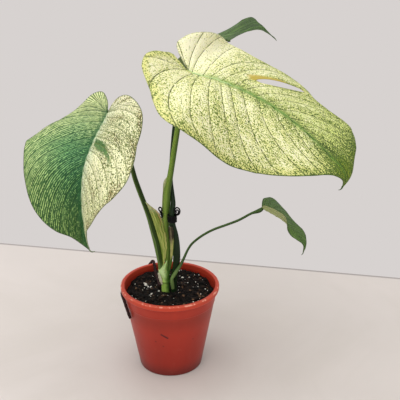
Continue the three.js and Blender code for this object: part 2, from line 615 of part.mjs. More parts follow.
function bladeGeometry(leaf) {
  const surface = leafSurface(leaf);
  const { length } = surface;
  const half = BLADE_THICKNESS / 2;
  const outline = {};
  for (const [side, points] of [[1, leaf.outlines.left], [-1, leaf.outlines.right]]) {
    outline[side] = curveThrough(points.map(([x, y]) => [x * length, y * leaf.halfWidth]));
  }
  const upper = [];
  const lower = [];
  const addNode = (point, normal, under) => {
    upper.push(point.clone().addScaledVector(normal, half));
    lower.push(point.clone().addScaledVector(normal, -under));
    return upper.length - 1;
  };
  const grid = { 1: [], [-1]: [] };
  let footNode = -1;
  let lastFoot = -1;
  for (let i = 0; i <= MARGIN_STEPS; i += 1) {
    const share = i / MARGIN_STEPS;
    const margins = { 1: outline[1].getPointAt(share), [-1]: outline[-1].getPointAt(share) };
    const mean = (margins[1].x + margins[-1].x) / 2 / length;
    const foot = i === MARGIN_STEPS ? length : length * Math.max(0, (mean - VEIN_LEAD) / (1 - VEIN_LEAD));
    if (foot !== lastFoot) {
      const frame = surface.frameAt(foot);
      const rib = leaf.ribDepth * (1 - foot / length);
      footNode = addNode(frame.centre, frame.normal, half + rib);
      lastFoot = foot;
    }
    for (const side of [1, -1]) {
      const row = [footNode];
      const margin = margins[side];
      const reach = Math.hypot(margin.x - foot, margin.y);
      const ribShare = Math.min(RIB_HALF_WIDTH / Math.max(reach, 0.1), 0.2);
      for (const step of [ribShare, ...VEIN_STEPS]) {
        if (i === 0 || i === MARGIN_STEPS) {
          row.push(footNode);
        } else {
          const [along, across] = veinPoint(foot, margin, step);
          row.push(addNode(surface.at(along, across, side), surface.facing(along, across, side), half));
        }
      }
      grid[side].push(row);
    }
  }
  const under = upper.length;
  const triangles = [];
  const addPair = (a, b, c) => {
    if (a === b || b === c || a === c) return;
    triangles.push([a, b, c], [a + under, c + under, b + under]);
  };
  for (const side of [1, -1]) {
    const rows = grid[side];
    const last = rows[0].length - 1;
    for (let i = 0; i < MARGIN_STEPS; i += 1) {
      for (let j = 0; j < last; j += 1) {
        const quad = [rows[i][j], rows[i + 1][j], rows[i + 1][j + 1], rows[i][j + 1]];
        const [a, b, c, d] = side === 1 ? quad : [quad[0], quad[3], quad[2], quad[1]];
        addPair(a, b, c);
        addPair(a, c, d);
      }
      const [a, b] = side === 1 ? [rows[i][last], rows[i + 1][last]] : [rows[i + 1][last], rows[i][last]];
      triangles.push([a, b, b + under], [a, b + under, a + under]);
    }
  }
  return closedGeometry([...upper, ...lower], triangles);
}

// The oval plug that cuts the slit, square to the blade all round
function slitGeometry(leaf) {
  const surface = leafSurface(leaf);
  const ringAt = (level) => Array.from({ length: SLIT.points }, (unused, k) => {
    const angle = (2 * Math.PI * k) / SLIT.points;
    const [u, v] = [SLIT.halfLength * Math.cos(angle), SLIT.halfWidth * Math.sin(angle)];
    const along = SLIT.along + u * Math.cos(rad(SLIT.turn)) - v * Math.sin(rad(SLIT.turn));
    const across = SLIT.across + u * Math.sin(rad(SLIT.turn)) + v * Math.cos(rad(SLIT.turn));
    return surface.at(along, across, -1).addScaledVector(surface.facing(along, across, -1), level);
  });
  return ringStack([ringAt(-SLIT_CUT_DEPTH), ringAt(SLIT_CUT_DEPTH)]);
}

function slitBladeGeometry(leaf) {
  return fromSolid(toSolid(bladeGeometry(leaf)).subtract(toSolid(slitGeometry(leaf))));
}

const plant = new THREE.Group();

function addPiece(name, geometry, color, roughness) {
  const material = new THREE.MeshStandardMaterial({ color, roughness, metalness: 0 });
  const mesh = new THREE.Mesh(geometry, material);
  mesh.name = name;
  plant.add(mesh);
}

addPiece('pot', potGeometry(), COLORS.terracotta, 0.45);
addPiece('soil', soilSolid(), COLORS.soil, 0.95);
addPiece('stem', stemGeometry(), COLORS.lightGreen, 0.5);
addPiece('petiole_left', stalkGeometry(STALK_LEFT, STALK_SIDES, STALK_STEP, SHEATH_LEFT), COLORS.green, 0.5);
addPiece('petiole_centre', stalkGeometry(STALK_CENTRE, STALK_SIDES, STALK_STEP, SHEATH_CENTRE),
  COLORS.lightGreen, 0.5);
addPiece('petiole_back', stalkGeometry(STALK_BACK, STALK_SIDES, STALK_STEP), COLORS.darkGreen, 0.5);
addPiece('petiole_small', stalkGeometry(STALK_SMALL, SLIM_SIDES, STALK_STEP), COLORS.darkGreen, 0.5);
addPiece('blade_left', bladeGeometry(LEAF_LEFT), COLORS.green, 0.5);
addPiece('blade_top', slitBladeGeometry(LEAF_TOP), COLORS.cream, 0.5);
addPiece('blade_back', bladeGeometry(LEAF_BACK), COLORS.darkGreen, 0.5);
addPiece('blade_small', bladeGeometry(LEAF_SMALL), COLORS.darkGreen, 0.5);
addPiece('dried_strip', stripGeometry(DRIED_STRIP, STRIP_HEADING), COLORS.straw, 0.8);
addPiece('old_scale', stripGeometry(OLD_SCALE, SCALE_HEADING), COLORS.paper, 0.8);
addPiece('tie_wire', wireGeometry(), COLORS.black, 0.5);
addPiece('aerial_root', stalkGeometry(AERIAL_ROOT, SLIM_SIDES, STALK_STEP), COLORS.bark, 0.85);

export default plant;
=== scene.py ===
"""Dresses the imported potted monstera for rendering: its leaves, stalks, stem, pot, soil, dried
sheaths, wire tie and aerial root, with the stage, lights and camera."""
import math

import bmesh
import bpy
import numpy as np
from bpy.props import FloatProperty, FloatVectorProperty, IntProperty, PointerProperty
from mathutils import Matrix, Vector, noise


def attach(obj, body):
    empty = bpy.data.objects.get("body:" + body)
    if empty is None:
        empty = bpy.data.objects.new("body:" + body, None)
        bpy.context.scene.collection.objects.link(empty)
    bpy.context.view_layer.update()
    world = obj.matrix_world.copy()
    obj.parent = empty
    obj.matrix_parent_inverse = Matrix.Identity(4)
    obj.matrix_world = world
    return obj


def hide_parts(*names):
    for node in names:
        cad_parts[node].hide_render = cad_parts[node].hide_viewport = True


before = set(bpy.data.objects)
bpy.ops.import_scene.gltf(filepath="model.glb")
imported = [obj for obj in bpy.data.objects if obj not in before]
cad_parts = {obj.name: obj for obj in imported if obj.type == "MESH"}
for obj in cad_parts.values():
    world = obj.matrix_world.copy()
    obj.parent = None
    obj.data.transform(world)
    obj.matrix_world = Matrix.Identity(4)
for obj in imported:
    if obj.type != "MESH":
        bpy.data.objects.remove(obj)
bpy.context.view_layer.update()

bl_info = {
    "name": "Potted Monstera",
    "version": (1, 0, 0),
    "blender": (4, 5, 0),
    "location": "View3D > Sidebar > Monstera",
    "description": "Builds a variegated monstera in its nursery pot, piece by piece",
    "category": "Add Mesh",
}

MM = 0.001


def srgb(red, green, blue):
    """The scene colour of a display colour whose parts run from 0 to 255."""
    parts = [c / 255 for c in (red, green, blue)]
    return tuple(c / 12.92 if c <= 0.04045 else ((c + 0.055) / 1.055) ** 2.4 for c in parts)


class SmoothCurve:
    """A smooth curve through points in millimetres, read by its share of length."""

    def __init__(self, points, samples=40):
        rows = np.array([(*p[:2], p[2] if len(p) > 2 else 0.0) for p in points], float)
        rows = np.vstack([2 * rows[0] - rows[1], rows, 2 * rows[-1] - rows[-2]])
        gaps = np.linalg.norm(np.diff(rows, axis=0), axis=1)[:, None]
        before, here, after = gaps[:-2], gaps[1:-1], gaps[2:]
        p0, p1, p2, p3 = rows[:-3], rows[1:-2], rows[2:-1], rows[3:]
        t1 = ((p1 - p0) / before - (p2 - p0) / (before + here) + (p2 - p1) / here) * here
        t2 = ((p2 - p1) / here - (p3 - p1) / (here + after) + (p3 - p2) / after) * here
        self.parts = np.stack([p1, t1, 3 * (p2 - p1) - 2 * t1 - t2, 2 * (p1 - p2) + t1 + t2])
        self.samples = samples
        self.steps = np.linspace(0, len(points) - 1, samples * (len(points) - 1) + 1)
        stretches = np.linalg.norm(np.diff(self.at_steps(self.steps), axis=0), axis=1)
        self.lengths = np.concatenate([[0], np.cumsum(stretches)])
        self.length = self.lengths[-1]

    def split(self, steps):
        part = np.clip(np.floor(steps).astype(int), 0, self.parts.shape[1] - 1)
        return part, (steps - part)[..., None]

    def at_steps(self, steps):
        part, u = self.split(steps)
        a, b, c, d = self.parts[:, part]
        return a + u * (b + u * (c + u * d))

    def steps_at(self, shares):
        return np.interp(np.asarray(shares, float) * self.length, self.lengths, self.steps)

    def points(self, shares):
        return self.at_steps(self.steps_at(shares))

    def tangents(self, shares):
        part, u = self.split(self.steps_at(shares))
        _, b, c, d = self.parts[:, part]
        return unit(b + 2 * u * c + 3 * u * u * d)

    def share_of(self, index):
        return self.lengths[index * self.samples] / self.length


def unit(vectors):
    return vectors / np.maximum(np.linalg.norm(vectors, axis=-1, keepdims=True), 1e-9)


def smooth_step(values, low, high):
    share = np.clip((values - low) / (high - low), 0, 1)
    return share * share * (3 - 2 * share)


def smooth_run(at, values):
    """Numbers along a line of stations, joined by a smooth curve that passes through them."""
    at, values = np.array(at, float), np.array(values, float)
    gaps = np.diff(at)
    slopes = np.diff(values) / gaps
    inner = (slopes[:-1] * gaps[1:] + slopes[1:] * gaps[:-1]) / (gaps[:-1] + gaps[1:])
    leans = np.concatenate([slopes[:1], inner, slopes[-1:]])

    def read(x):
        inside = np.clip(x, at[0], at[-1])
        i = np.clip(np.searchsorted(at, inside) - 1, 0, len(gaps) - 1)
        u = (inside - at[i]) / gaps[i]
        rise = (2 * u**3 - 3 * u**2 + 1) * values[i] + (3 * u**2 - 2 * u**3) * values[i + 1]
        lean = (u**3 - 2 * u**2 + u) * leans[i] + (u**3 - u**2) * leans[i + 1]
        return rise + gaps[i] * lean

    return read


def placed(name, data):
    """A new object of the scene."""
    made = bpy.data.objects.new(name, data)
    bpy.context.scene.collection.objects.link(made)
    return made


def cos_sin(degrees):
    turn = math.radians(degrees)
    return math.cos(turn), math.sin(turn)


def round_angles(count):
    return np.arange(count) * 2 * math.pi / count


def triples(*parts):
    """Three numbers for each point of a grid."""
    return np.stack(np.broadcast_arrays(*parts), -1).reshape(-1, 3)


def guide(rows):
    """The curve through rows of x, y and z, and a run of each number that follows them."""
    curve = SmoothCurve([row[:3] for row in rows])
    stations = [curve.share_of(i) for i in range(len(rows))]
    return curve, *(smooth_run(stations, numbers) for numbers in list(zip(*rows))[3:])


# Where the direction of the midrib is read to even out the turn of a half, in reaches, and the
# longest reach in millimetres
EASING = np.linspace(-1, 1, 9)
EASE_REACH = 22


class LeafSheet:
    """The bent middle surface of a leaf, read at distances along and across its midrib."""

    def __init__(self, leaf):
        self.curve = SmoothCurve(leaf["midrib"])
        self.behind = self.curve.share_of(1) * self.curve.length
        self.length = self.curve.length - self.behind
        self.upright = np.array(leaf["normal"], float)
        self.width = leaf["half_width"]
        self.wave = leaf["wave"]
        self.eased = leaf.get("eased")
        self.fold = {s: smooth_run(leaf["folds"]["at"], leaf["folds"][s]) for s in (1, -1)}
        self.arch = {s: smooth_run(leaf["arches"]["at"], leaf["arches"][s]) for s in (1, -1)}

    def frames(self, along, side=0):
        place = along + self.behind
        share = np.clip(place / self.curve.length, 0, 1)
        tangent = self.curve.tangents(share)
        centre = self.curve.points(share) + tangent * np.minimum(place, 0)[..., None]
        if side == self.eased:
            reach = EASE_REACH * (1 - smooth_step(along / self.length, 0.1, 0.35))
            nearby = [np.clip((place + step * reach) / self.curve.length, 0, 1) for step in EASING]
            tangent = unit(sum(self.curve.tangents(each) for each in nearby))
        normal = unit(self.upright - tangent * (tangent @ self.upright)[..., None])
        return centre, normal, np.cross(tangent, normal)

    def at(self, along, across, side):
        centre, normal, sideways = self.frames(along, side)
        share = along / self.length
        start = np.radians(self.fold[side](share))
        bend = self.arch[side](share)
        bend = np.where(bend == 0, 1e-4, bend) / self.width
        end = start + bend * across
        height, count = self.wave
        wave = height * (across / self.width) ** 2 * np.sin(2 * math.pi * count * share + side)
        out = side * (np.sin(end) - np.sin(start)) / bend
        up = (np.cos(start) - np.cos(end)) / bend + wave
        return centre + sideways * out[..., None] + normal * up[..., None]

    def facing(self, along, across, side):
        near = np.maximum(across, 0.5)
        along_way = self.at(along + 0.4, near, side) - self.at(along - 0.4, near, side)
        across_way = self.at(along, near + 0.4, side) - self.at(along, near - 0.4, side)
        return unit(np.cross(across_way, along_way) * side)


# A leaf's midrib has the joint of its stalk as second point. Side 1 is the half on the side of
# the midrib crossed with the normal. Each lateral vein is where it leaves the midrib and where
# it meets the margin, as shares, and how far it bows out.
LEAVES = {
    "left": {
        "midrib": [(-51, 9, 288), (-56, -1, 270), (-67, -18, 250), (-76, -36, 226),
                   (-78, -45, 200), (-76, -52, 177), (-72, -56, 154)],
        "normal": (-0.69, -0.78, 0.26), "half_width": 70, "rib_depth": 2.2,
        "folds": {"at": [-0.2, 0.1, 0.5, 1], 1: [2, 8, 30, 45], -1: [11, 22, 27, 45]},
        "arches": {"at": [-0.2, 0.3, 1], 1: [-0.5, -0.19, 0.26], -1: [0.02, -0.64, -0.23]},
        "outlines": {
            1: [(0, 0), (-0.09, 0.06), (-0.15, 0.2), (-0.14, 0.37), (-0.04, 0.61), (0.11, 0.84),
                (0.22, 1), (0.29, 1.09), (0.35, 1), (0.44, 0.87), (0.54, 0.79), (0.64, 0.71),
                (0.74, 0.57), (0.83, 0.39), (0.89, 0.19), (0.95, 0.08), (1, 0)],
            -1: [(0, 0), (-0.06, 0.05), (-0.1, 0.14), (-0.125, 0.31), (-0.09, 0.57),
                 (-0.02, 0.76), (0.09, 0.9), (0.18, 0.965), (0.28, 0.965), (0.41, 0.995),
                 (0.48, 0.985), (0.57, 0.89), (0.69, 0.71), (0.78, 0.5), (0.88, 0.12), (1, 0)],
        },
        "wave": (1.2, 2.5),
        "tail": [(-72.9, -55.2, 157.4, 0.8), (-72, -56, 154.6, 0.62), (-69.8, -56.4, 152.6, 0.52),
                 (-66.8, -56.6, 153.4, 0.34)],
        "laterals": {
            1: [(0, 0, 0.5), (0, 0.09, 0.5), (0, 0.18, 0.5), (0, 0.27, 0.55), (0, 0.36, 0.6),
                (0.03, 0.47, 0.9), (0.07, 0.56, 1.1), (0.13, 0.62, 1), (0.19, 0.66, 0.85),
                (0.25, 0.7, 0.8), (0.32, 0.76, 0.78), (0.4, 0.82, 0.76), (0.48, 0.87, 0.76),
                (0.57, 0.905, 0.75), (0.68, 0.935, 0.7), (0.8, 0.965, 0.65), (1, 1, 0.6)],
            -1: [(0, 0, 0.5), (0, 0.09, 0.5), (0, 0.18, 0.5), (0, 0.27, 0.55), (0, 0.36, 0.6),
                 (0.04, 0.45, 0.8), (0.09, 0.5, 0.9), (0.14, 0.55, 0.95), (0.19, 0.59, 0.95),
                 (0.24, 0.63, 0.9), (0.3, 0.68, 0.85), (0.37, 0.735, 0.8), (0.45, 0.79, 0.8),
                 (0.54, 0.84, 0.75), (0.65, 0.89, 0.7), (0.78, 0.94, 0.65), (1, 1, 0.6)],
        },
    },
    "top": {
        "midrib": [(5, 12, 327), (20, 4, 309), (47, -5, 302), (87, -19, 287), (121, -35, 266),
                   (147, -50, 244), (156.5, -53, 235), (161, -53, 225), (159.4, -50, 213.5)],
        "normal": (0.39, -0.37, 0.81), "half_width": 92, "rib_depth": 2.8, "eased": -1,
        "folds": {"at": [-0.2, 0.1, 0.5, 1], 1: [20, 20, -4, -5], -1: [29, 5, 2, 16]},
        "arches": {"at": [-0.2, 0.3, 1], 1: [-0.45, -0.56, -1.09], -1: [-0.5, -0.43, -0.48]},
        "outlines": {
            1: [(0, 0), (-0.05, 0.02), (-0.107, 0.06), (-0.127, 0.2), (-0.15, 0.37),
                (-0.15, 0.51), (-0.13, 0.61), (-0.1, 0.675), (-0.055, 0.73), (-0.01, 0.82),
                (0.02, 0.94), (0.06, 1.05), (0.11, 1.07), (0.17, 1.04), (0.26, 0.97), (0.4, 0.9),
                (0.49, 0.85), (0.59, 0.75), (0.69, 0.63), (0.75, 0.5), (0.8, 0.35), (0.835, 0.24),
                (0.88, 0.15), (0.93, 0.07), (1, 0)],
            -1: [(0, 0), (-0.06, 0.03), (-0.12, 0.045), (-0.147, 0.09), (-0.153, 0.17),
                 (-0.147, 0.31), (-0.13, 0.41), (-0.09, 0.59), (0, 0.86), (0.069, 0.95),
                 (0.15, 0.935), (0.226, 0.94), (0.3, 0.965), (0.375, 0.99), (0.437, 0.92),
                 (0.494, 0.81), (0.55, 0.68), (0.62, 0.63), (0.7, 0.63), (0.78, 0.59),
                 (0.84, 0.51), (0.875, 0.39), (0.912, 0.22), (0.955, 0.1), (1, 0)],
        },
        "wave": (1.4, 2),
        "tail": [(159.7, -50.6, 216, 0.9), (159.2, -50, 213.8, 0.7), (157.8, -49.8, 212.2, 0.42),
                 (156, -49.8, 211.8, 0.16)],
        "laterals": {
            1: [(0, 0, 0.5), (0, 0.1, 0.5), (0, 0.2, 0.5), (0, 0.3, 0.55), (0.03, 0.42, 0.85),
                (0.06, 0.52, 1.05), (0.12, 0.58, 0.95), (0.17, 0.66, 0.92), (0.215, 0.72, 0.95),
                (0.28, 0.78, 1), (0.36, 0.845, 1.15), (0.455, 0.89, 1.1), (0.56, 0.92, 1),
                (0.67, 0.945, 0.9), (0.79, 0.97, 0.8), (1, 1, 0.6)],
            -1: [(0, 0, 0.5), (0, 0.09, 0.5), (0, 0.185, 0.5), (0.02, 0.28, 0.5),
                 (0.075, 0.37, 0.55), (0.11, 0.49, 0.55), (0.17, 0.55, 0.6), (0.23, 0.605, 0.6),
                 (0.29, 0.66, 0.6), (0.35, 0.705, 0.62), (0.41, 0.755, 0.65), (0.475, 0.83, 0.65),
                 (0.54, 0.88, 0.65), (0.61, 0.93, 0.65), (0.72, 0.955, 0.6), (0.84, 0.98, 0.6),
                 (1, 1, 0.6)],
        },
    },
    "back": {
        "midrib": [(10, 90, 305.6), (22, 102, 307.6), (36.3, 118, 311.6), (48.3, 135, 311.6),
                   (76.5, 137, 318.6), (94.8, 135, 321.6), (110, 134, 311.6)],
        "normal": (0.07, -0.12, 0.97), "half_width": 40, "rib_depth": 1.8,
        "folds": {"at": [-0.2, 0.1, 0.5, 1], 1: [44, 24, 5, 12], -1: [-60, -46, 7, 42]},
        "arches": {"at": [-0.2, 0.3, 1], 1: [-0.33, 0.1, -0.2], -1: [-0.12, -0.9, 0]},
        "outlines": {
            1: [(0, 0), (-0.09, 0.1), (-0.18, 0.3), (-0.2, 0.54), (-0.12, 0.78), (0.05, 0.84),
                (0.18, 0.66), (0.3, 0.48), (0.4, 0.56), (0.48, 0.73), (0.55, 0.63), (0.62, 0.34),
                (0.69, 0.16), (0.76, 0.16), (0.86, 0.17), (0.93, 0.09), (1, 0)],
            -1: [(0, 0), (-0.08, 0.1), (-0.15, 0.32), (-0.16, 0.58), (-0.09, 0.82), (0.09, 0.98),
                 (0.3, 0.97), (0.45, 0.87), (0.53, 0.75), (0.6, 0.66), (0.7, 0.6), (0.745, 0.53),
                 (0.775, 0.4), (0.81, 0.2), (0.87, 0.07), (1, 0)],
        },
        "wave": (0.6, 2),
        "tail": [(107, 134, 314, 0.7), (110, 134, 311.4, 0.5), (112, 134, 308.8, 0.16)],
        "laterals": {s: [(0, 0, 0.5), (0, 0.12, 0.5), (0, 0.24, 0.55), (0.04, 0.36, 0.7),
                         (0.1, 0.48, 0.7), (0.18, 0.58, 0.7), (0.28, 0.68, 0.7), (0.4, 0.77, 0.7),
                         (0.53, 0.85, 0.7), (0.68, 0.91, 0.7), (0.83, 0.96, 0.6),
                         (1, 1, 0.6)] for s in (1, -1)},
    },
    "small": {
        "midrib": [(85, -13, 184), (91, -12, 179), (102.6, -10, 171), (113.6, -8.6, 162.4),
                   (121.4, -9, 153), (128, -12, 146.4), (132.4, -15, 140), (131.4, -16, 131.6)],
        "normal": (0.29, -0.02, 0.9), "half_width": 21, "rib_depth": 0.9,
        "folds": {"at": [-0.2, 0.15, 0.4, 0.54, 0.7, 1], 1: [38, 42, 26, -50, -50, 0],
                  -1: [35, 23, 13, 12, 13, 21]},
        "arches": {"at": [-0.2, 0.3, 1], 1: [0, 0, 0], -1: [0, 0, 0]},
        "outlines": {
            1: [(0, 0), (-0.02, 0.08), (-0.03, 0.22), (0.03, 0.34), (0.1, 0.42), (0.16, 0.44),
                (0.24, 0.42), (0.33, 0.36), (0.42, 0.24), (0.49, 0.16), (0.56, 0.2), (0.64, 0.25),
                (0.74, 0.19), (0.83, 0.1), (0.9, 0.06), (0.95, 0.04), (1, 0)],
            -1: [(0, 0), (-0.02, 0.08), (-0.03, 0.24), (-0.02, 0.49), (0.05, 0.7), (0.14, 0.92),
                 (0.3, 0.98), (0.4, 0.87), (0.5, 0.76), (0.62, 0.64), (0.7, 0.6), (0.77, 0.48),
                 (0.83, 0.28), (0.89, 0.13), (0.94, 0.07), (1, 0)],
        },
        "wave": (0, 1),
        "tail": [(131.8, -16, 133.6, 0.6), (131.2, -16, 131, 0.42), (129.8, -16, 129.4, 0.14)],
        "laterals": {s: [(0, 0, 0.5), (0, 0.12, 0.5), (0.02, 0.25, 0.6), (0.08, 0.38, 0.7),
                         (0.16, 0.5, 0.7), (0.26, 0.6, 0.7), (0.38, 0.7, 0.7), (0.52, 0.8, 0.7),
                         (0.67, 0.88, 0.7), (0.83, 0.95, 0.6), (1, 1, 0.6)] for s in (1, -1)},
    },
}

# The one slit of the top leaf, an oval on its far half, placed along and across the midrib and
# turned by degrees
SLIT = {"along": 76, "across": 46.5, "half_length": 27, "half_width": 5.6, "turn": 49}

# Rows between two lateral veins as shares, the least gap of two rows at the midrib, and columns
# beside the midrib, inside the margin and between them
BAND_STEPS = [0, 0.03, 0.08, 0.2, 0.4, 0.6, 0.8, 0.92, 0.97]
ROW_GAP = 0.0012
BY_RIB = [0, 0.5, 1, 1.5, 2, 2.7, 3.6, 4.8, 6.4]
BY_EDGE = [1.4, 0.8, 0.35, 0]
OPEN_COLUMNS = 26

# How far the slit is from a half without one, and how near two points of a blade become one
FAR_AWAY = 99.0
WELD = 0.004

# Relief of a blade: half its thickness, the cord under and the groove over a lateral vein, the
# channel over the midrib, and how far the midrib's keel reaches to each side at the joint and how
# much less at the tip
HALF_THICKNESS = 0.3
VEIN_CORD = 0.4
VEIN_GROOVE = 0.32
RIB_CHANNEL = 0.5
KEEL_WIDTH = 2.1
KEEL_NARROWS = 1.3


def vein_ranks(leaf, side):
    """Where rows of the blade run, counted in lateral veins from the lobe to the tip."""
    last = len(leaf["laterals"][side]) - 1
    return np.array([band + step for band in range(last) for step in BAND_STEPS] + [last])


def matched_ranks(leaf):
    """Rows of both halves that leave the midrib at the same places, so that the halves join."""
    table = {s: np.array(leaf["laterals"][s], float) for s in (1, -1)}
    ranks = {s: vein_ranks(leaf, s) for s in (1, -1)}
    feet = {s: np.interp(ranks[s], np.arange(len(table[s])), table[s][:, 0]) for s in (1, -1)}
    shared = np.unique(np.concatenate([feet[1], feet[-1]]))
    shared = shared[shared > 0]
    kept = [shared[0]]
    for foot in shared[1:]:
        if foot - kept[-1] > ROW_GAP or foot == 1:
            kept.append(foot)
    kept = np.array(kept)
    rows = {}
    for s in (1, -1):
        fan = int(np.max(np.nonzero(table[s][:, 0] == 0)))
        after = np.interp(kept, table[s][fan:, 0], np.arange(fan, len(table[s])))
        rows[s] = np.concatenate([ranks[s][ranks[s] <= fan], after])
    return rows


def grid_quads(grid):
    """The four corners of each field of a grid of point numbers."""
    return np.stack([grid[:-1, :-1], grid[1:, :-1], grid[1:, 1:], grid[:-1, 1:]], 2).reshape(-1, 4)


def outline_distance(places, line):
    """The distance from each flat place to a line of points."""
    start, way = line[:-1], np.diff(line, axis=0)
    share = ((places[:, None] - start) * way).sum(2) / np.maximum((way * way).sum(1), 1e-9)
    nearest = start + np.clip(share, 0, 1)[..., None] * way
    return np.linalg.norm(places[:, None] - nearest, axis=2).min(1)


def from_slit(x, y):
    """How far along the slit and how far from it towards the margin a place lies."""
    c, s = cos_sin(SLIT["turn"])
    dx, dy = x - SLIT["along"], y - SLIT["across"]
    return dx * c + dy * s, dy * c - dx * s


def slit_distance(places):
    """How far outside the slit's edge each flat place lies; less than nought is inside."""
    u, v = from_slit(places[:, 0], places[:, 1])
    reach = np.hypot(u / SLIT["half_length"], v / SLIT["half_width"])
    return (reach - 1) * np.hypot(u, v) / np.maximum(reach, 1e-6)


def blade_half(sheet, leaf, side, ranks, slit):
    """Flat places of one half and what the surface and the paint need to know there."""
    table = np.array(leaf["laterals"][side], float)
    index = np.arange(len(table))
    foot = np.interp(ranks, index, table[:, 0]) * sheet.length
    bow = np.interp(ranks, index, table[:, 2])
    scale = (sheet.length, leaf["half_width"])
    outline = SmoothCurve([(x * scale[0], y * scale[1]) for x, y in leaf["outlines"][side]])
    margin = outline.points(np.interp(ranks, index, table[:, 1]))[:, :2]
    lean = 0.18 * np.maximum(0, 1 - foot / (0.1 * sheet.length))
    start = np.stack([foot, np.zeros_like(foot)], 1)
    bend_along = foot + 0.27 * (margin[:, 0] - foot) - lean * margin[:, 1]
    bend = np.stack([bend_along, bow * margin[:, 1]], 1)
    t = np.linspace(0, 1, 81)[:, None]
    columns = len(BY_RIB) + OPEN_COLUMNS + len(BY_EDGE)
    flat = np.zeros((len(ranks), columns, 2))
    run = np.zeros((len(ranks), columns))
    for i in range(len(ranks)):
        line = (1 - t) ** 2 * start[i] + 2 * t * (1 - t) * bend[i] + t**2 * margin[i]
        gone = np.concatenate([[0], np.cumsum(np.linalg.norm(np.diff(line, axis=0), axis=1))])
        near = min(1.0, gone[-1] / 18)
        first, last = near * np.array(BY_RIB), gone[-1] - near * np.array(BY_EDGE)
        between = np.linspace(first[-1], last[0], OPEN_COLUMNS + 2)[1:-1]
        run[i] = np.concatenate([first, between, last])
        flat[i] = np.stack([np.interp(run[i], gone, line[:, k]) for k in (0, 1)], 1)
    way = unit(np.gradient(flat, axis=1))
    drift = np.gradient(flat, ranks, axis=0)
    spacing = np.abs(drift[..., 0] * way[..., 1] - drift[..., 1] * way[..., 0])
    places = flat.reshape(-1, 2)
    rim = outline.points(np.linspace(0, 1, 300))[:, :2]
    facts = np.stack([places[:, 0], places[:, 1], np.repeat(ranks, columns), spacing.ravel(),
                      run.ravel(), outline_distance(places, rim),
                      np.hypot(np.minimum(places[:, 0], 0), places[:, 1])], 1)
    grid = np.arange(len(facts)).reshape(len(ranks), columns)
    corners = grid_quads(grid)[:, [0, 1, 2, 0, 2, 3]].reshape(-1, 3)
    rim_edges = np.stack([grid[:-1, -1], grid[1:, -1]], 1)
    opening = np.full(len(facts), FAR_AWAY)
    if slit:
        facts, corners, hole_edges = cut_slit(facts, corners)
        rim_edges = np.vstack([rim_edges, hole_edges])
        opening = np.maximum(slit_distance(facts[:, :2]), 0)
    return np.column_stack([facts, opening]), corners, rim_edges


def edges_of(face):
    return zip(face, (*face[1:], face[0]))


def cut_slit(facts, corners):
    """Moves the nearest places onto the slit's edge and leaves out the faces inside it."""
    facts = facts.copy()
    depth = slit_distance(facts[:, :2])
    state = np.sign(depth)
    crossing = []
    for a, b in {tuple(sorted(edge)) for face in corners for edge in edges_of(face)}:
        if state[a] * state[b] < 0:
            share = depth[a] / (depth[a] - depth[b])
            crossing.append((min(share, 1 - share), a, b, share))
    original = facts.copy()
    for _, a, b, share in sorted(crossing):
        if state[a] * state[b] < 0:
            moved = a if share < 0.5 else b
            facts[moved] = original[a] * (1 - share) + original[b] * share
            state[moved] = 0
    kept = corners[(state[corners] >= 0).all(1)]
    count = {}
    for face in kept:
        for a, b in edges_of(face):
            if state[a] == 0 and state[b] == 0:
                count[(a, b)] = count.get((a, b), 0) + 1
    hole = [edge for edge in count if (edge[1], edge[0]) not in count]
    return facts, kept, np.array(hole)


def blade_mesh(leaf, quilt, slit=False):
    """The whole blade as one closed skin: points, faces and facts for the paint."""
    sheet = LeafSheet(leaf)
    points, faces, count = [], [], 0
    facts_of = {"place": [], "veins": [], "edges": []}
    for side, ranks in matched_ranks(leaf).items():
        facts, corners, rim = blade_half(sheet, leaf, side, ranks, slit and side == -1)
        x, y, rank, spacing, run, margin, rib, opening = facts.T
        base = sheet.at(x, y, side)
        _, upright, _ = sheet.frames(x)
        turn = smooth_step(rib, 0, 2.5)[:, None]
        normal = unit(upright * (1 - turn) + sheet.facing(x, y, side) * turn)
        share = np.clip(x / sheet.length, 0, 1)
        near = np.abs(rank - np.round(rank)) * spacing
        edge = np.minimum(margin, opening)
        fade = smooth_step(spacing, 1.5, 6) * smooth_step(edge, 0, 4)
        swell = quilt * (1 - np.exp(-((near / 2.6) ** 2)))
        swell = swell - VEIN_GROOVE * np.exp(-((near / 0.8) ** 2))
        channel = RIB_CHANNEL * np.exp(-((rib / 1.3) ** 2)) * (1 - share)
        half = HALF_THICKNESS * (0.35 + 0.65 * smooth_step(edge, 0, 1))
        keel_width = KEEL_WIDTH - KEEL_NARROWS * share
        keel = leaf["rib_depth"] * (1 - share) * np.sqrt(np.maximum(0, 1 - (rib / keel_width) ** 2))
        cord = VEIN_CORD * np.exp(-((near / 0.7) ** 2)) * fade
        middle = swell * fade - channel
        points += [base + normal * (middle + half)[:, None],
                   base + normal * (middle - half - np.maximum(keel, cord))[:, None]]
        for under in (0.0, 1.0):
            facts_of["place"].append(triples(x, side * y, under))
            facts_of["veins"].append(triples(rank, spacing, run))
            facts_of["edges"].append(triples(edge, rib, opening))
        upper, lower = corners + count, corners[:, ::-1] + count + len(x)
        first, second = rim[:, 0] + count, rim[:, 1] + count
        band = np.stack([first, second, second + len(x), first + len(x)], 1)
        faces += upper.tolist() + lower.tolist() + band.tolist()
        count += 2 * len(x)
    tail, sides, _ = tube(leaf["tail"], 8, 0.3)
    points.append(tail)
    faces += [[i + count for i in face] for face in sides]
    facts = {"leaf_" + key: np.vstack([*rows, np.repeat(rows[0][-1:], len(tail), 0)])
             for key, rows in facts_of.items()}
    return np.vstack(points), faces, facts


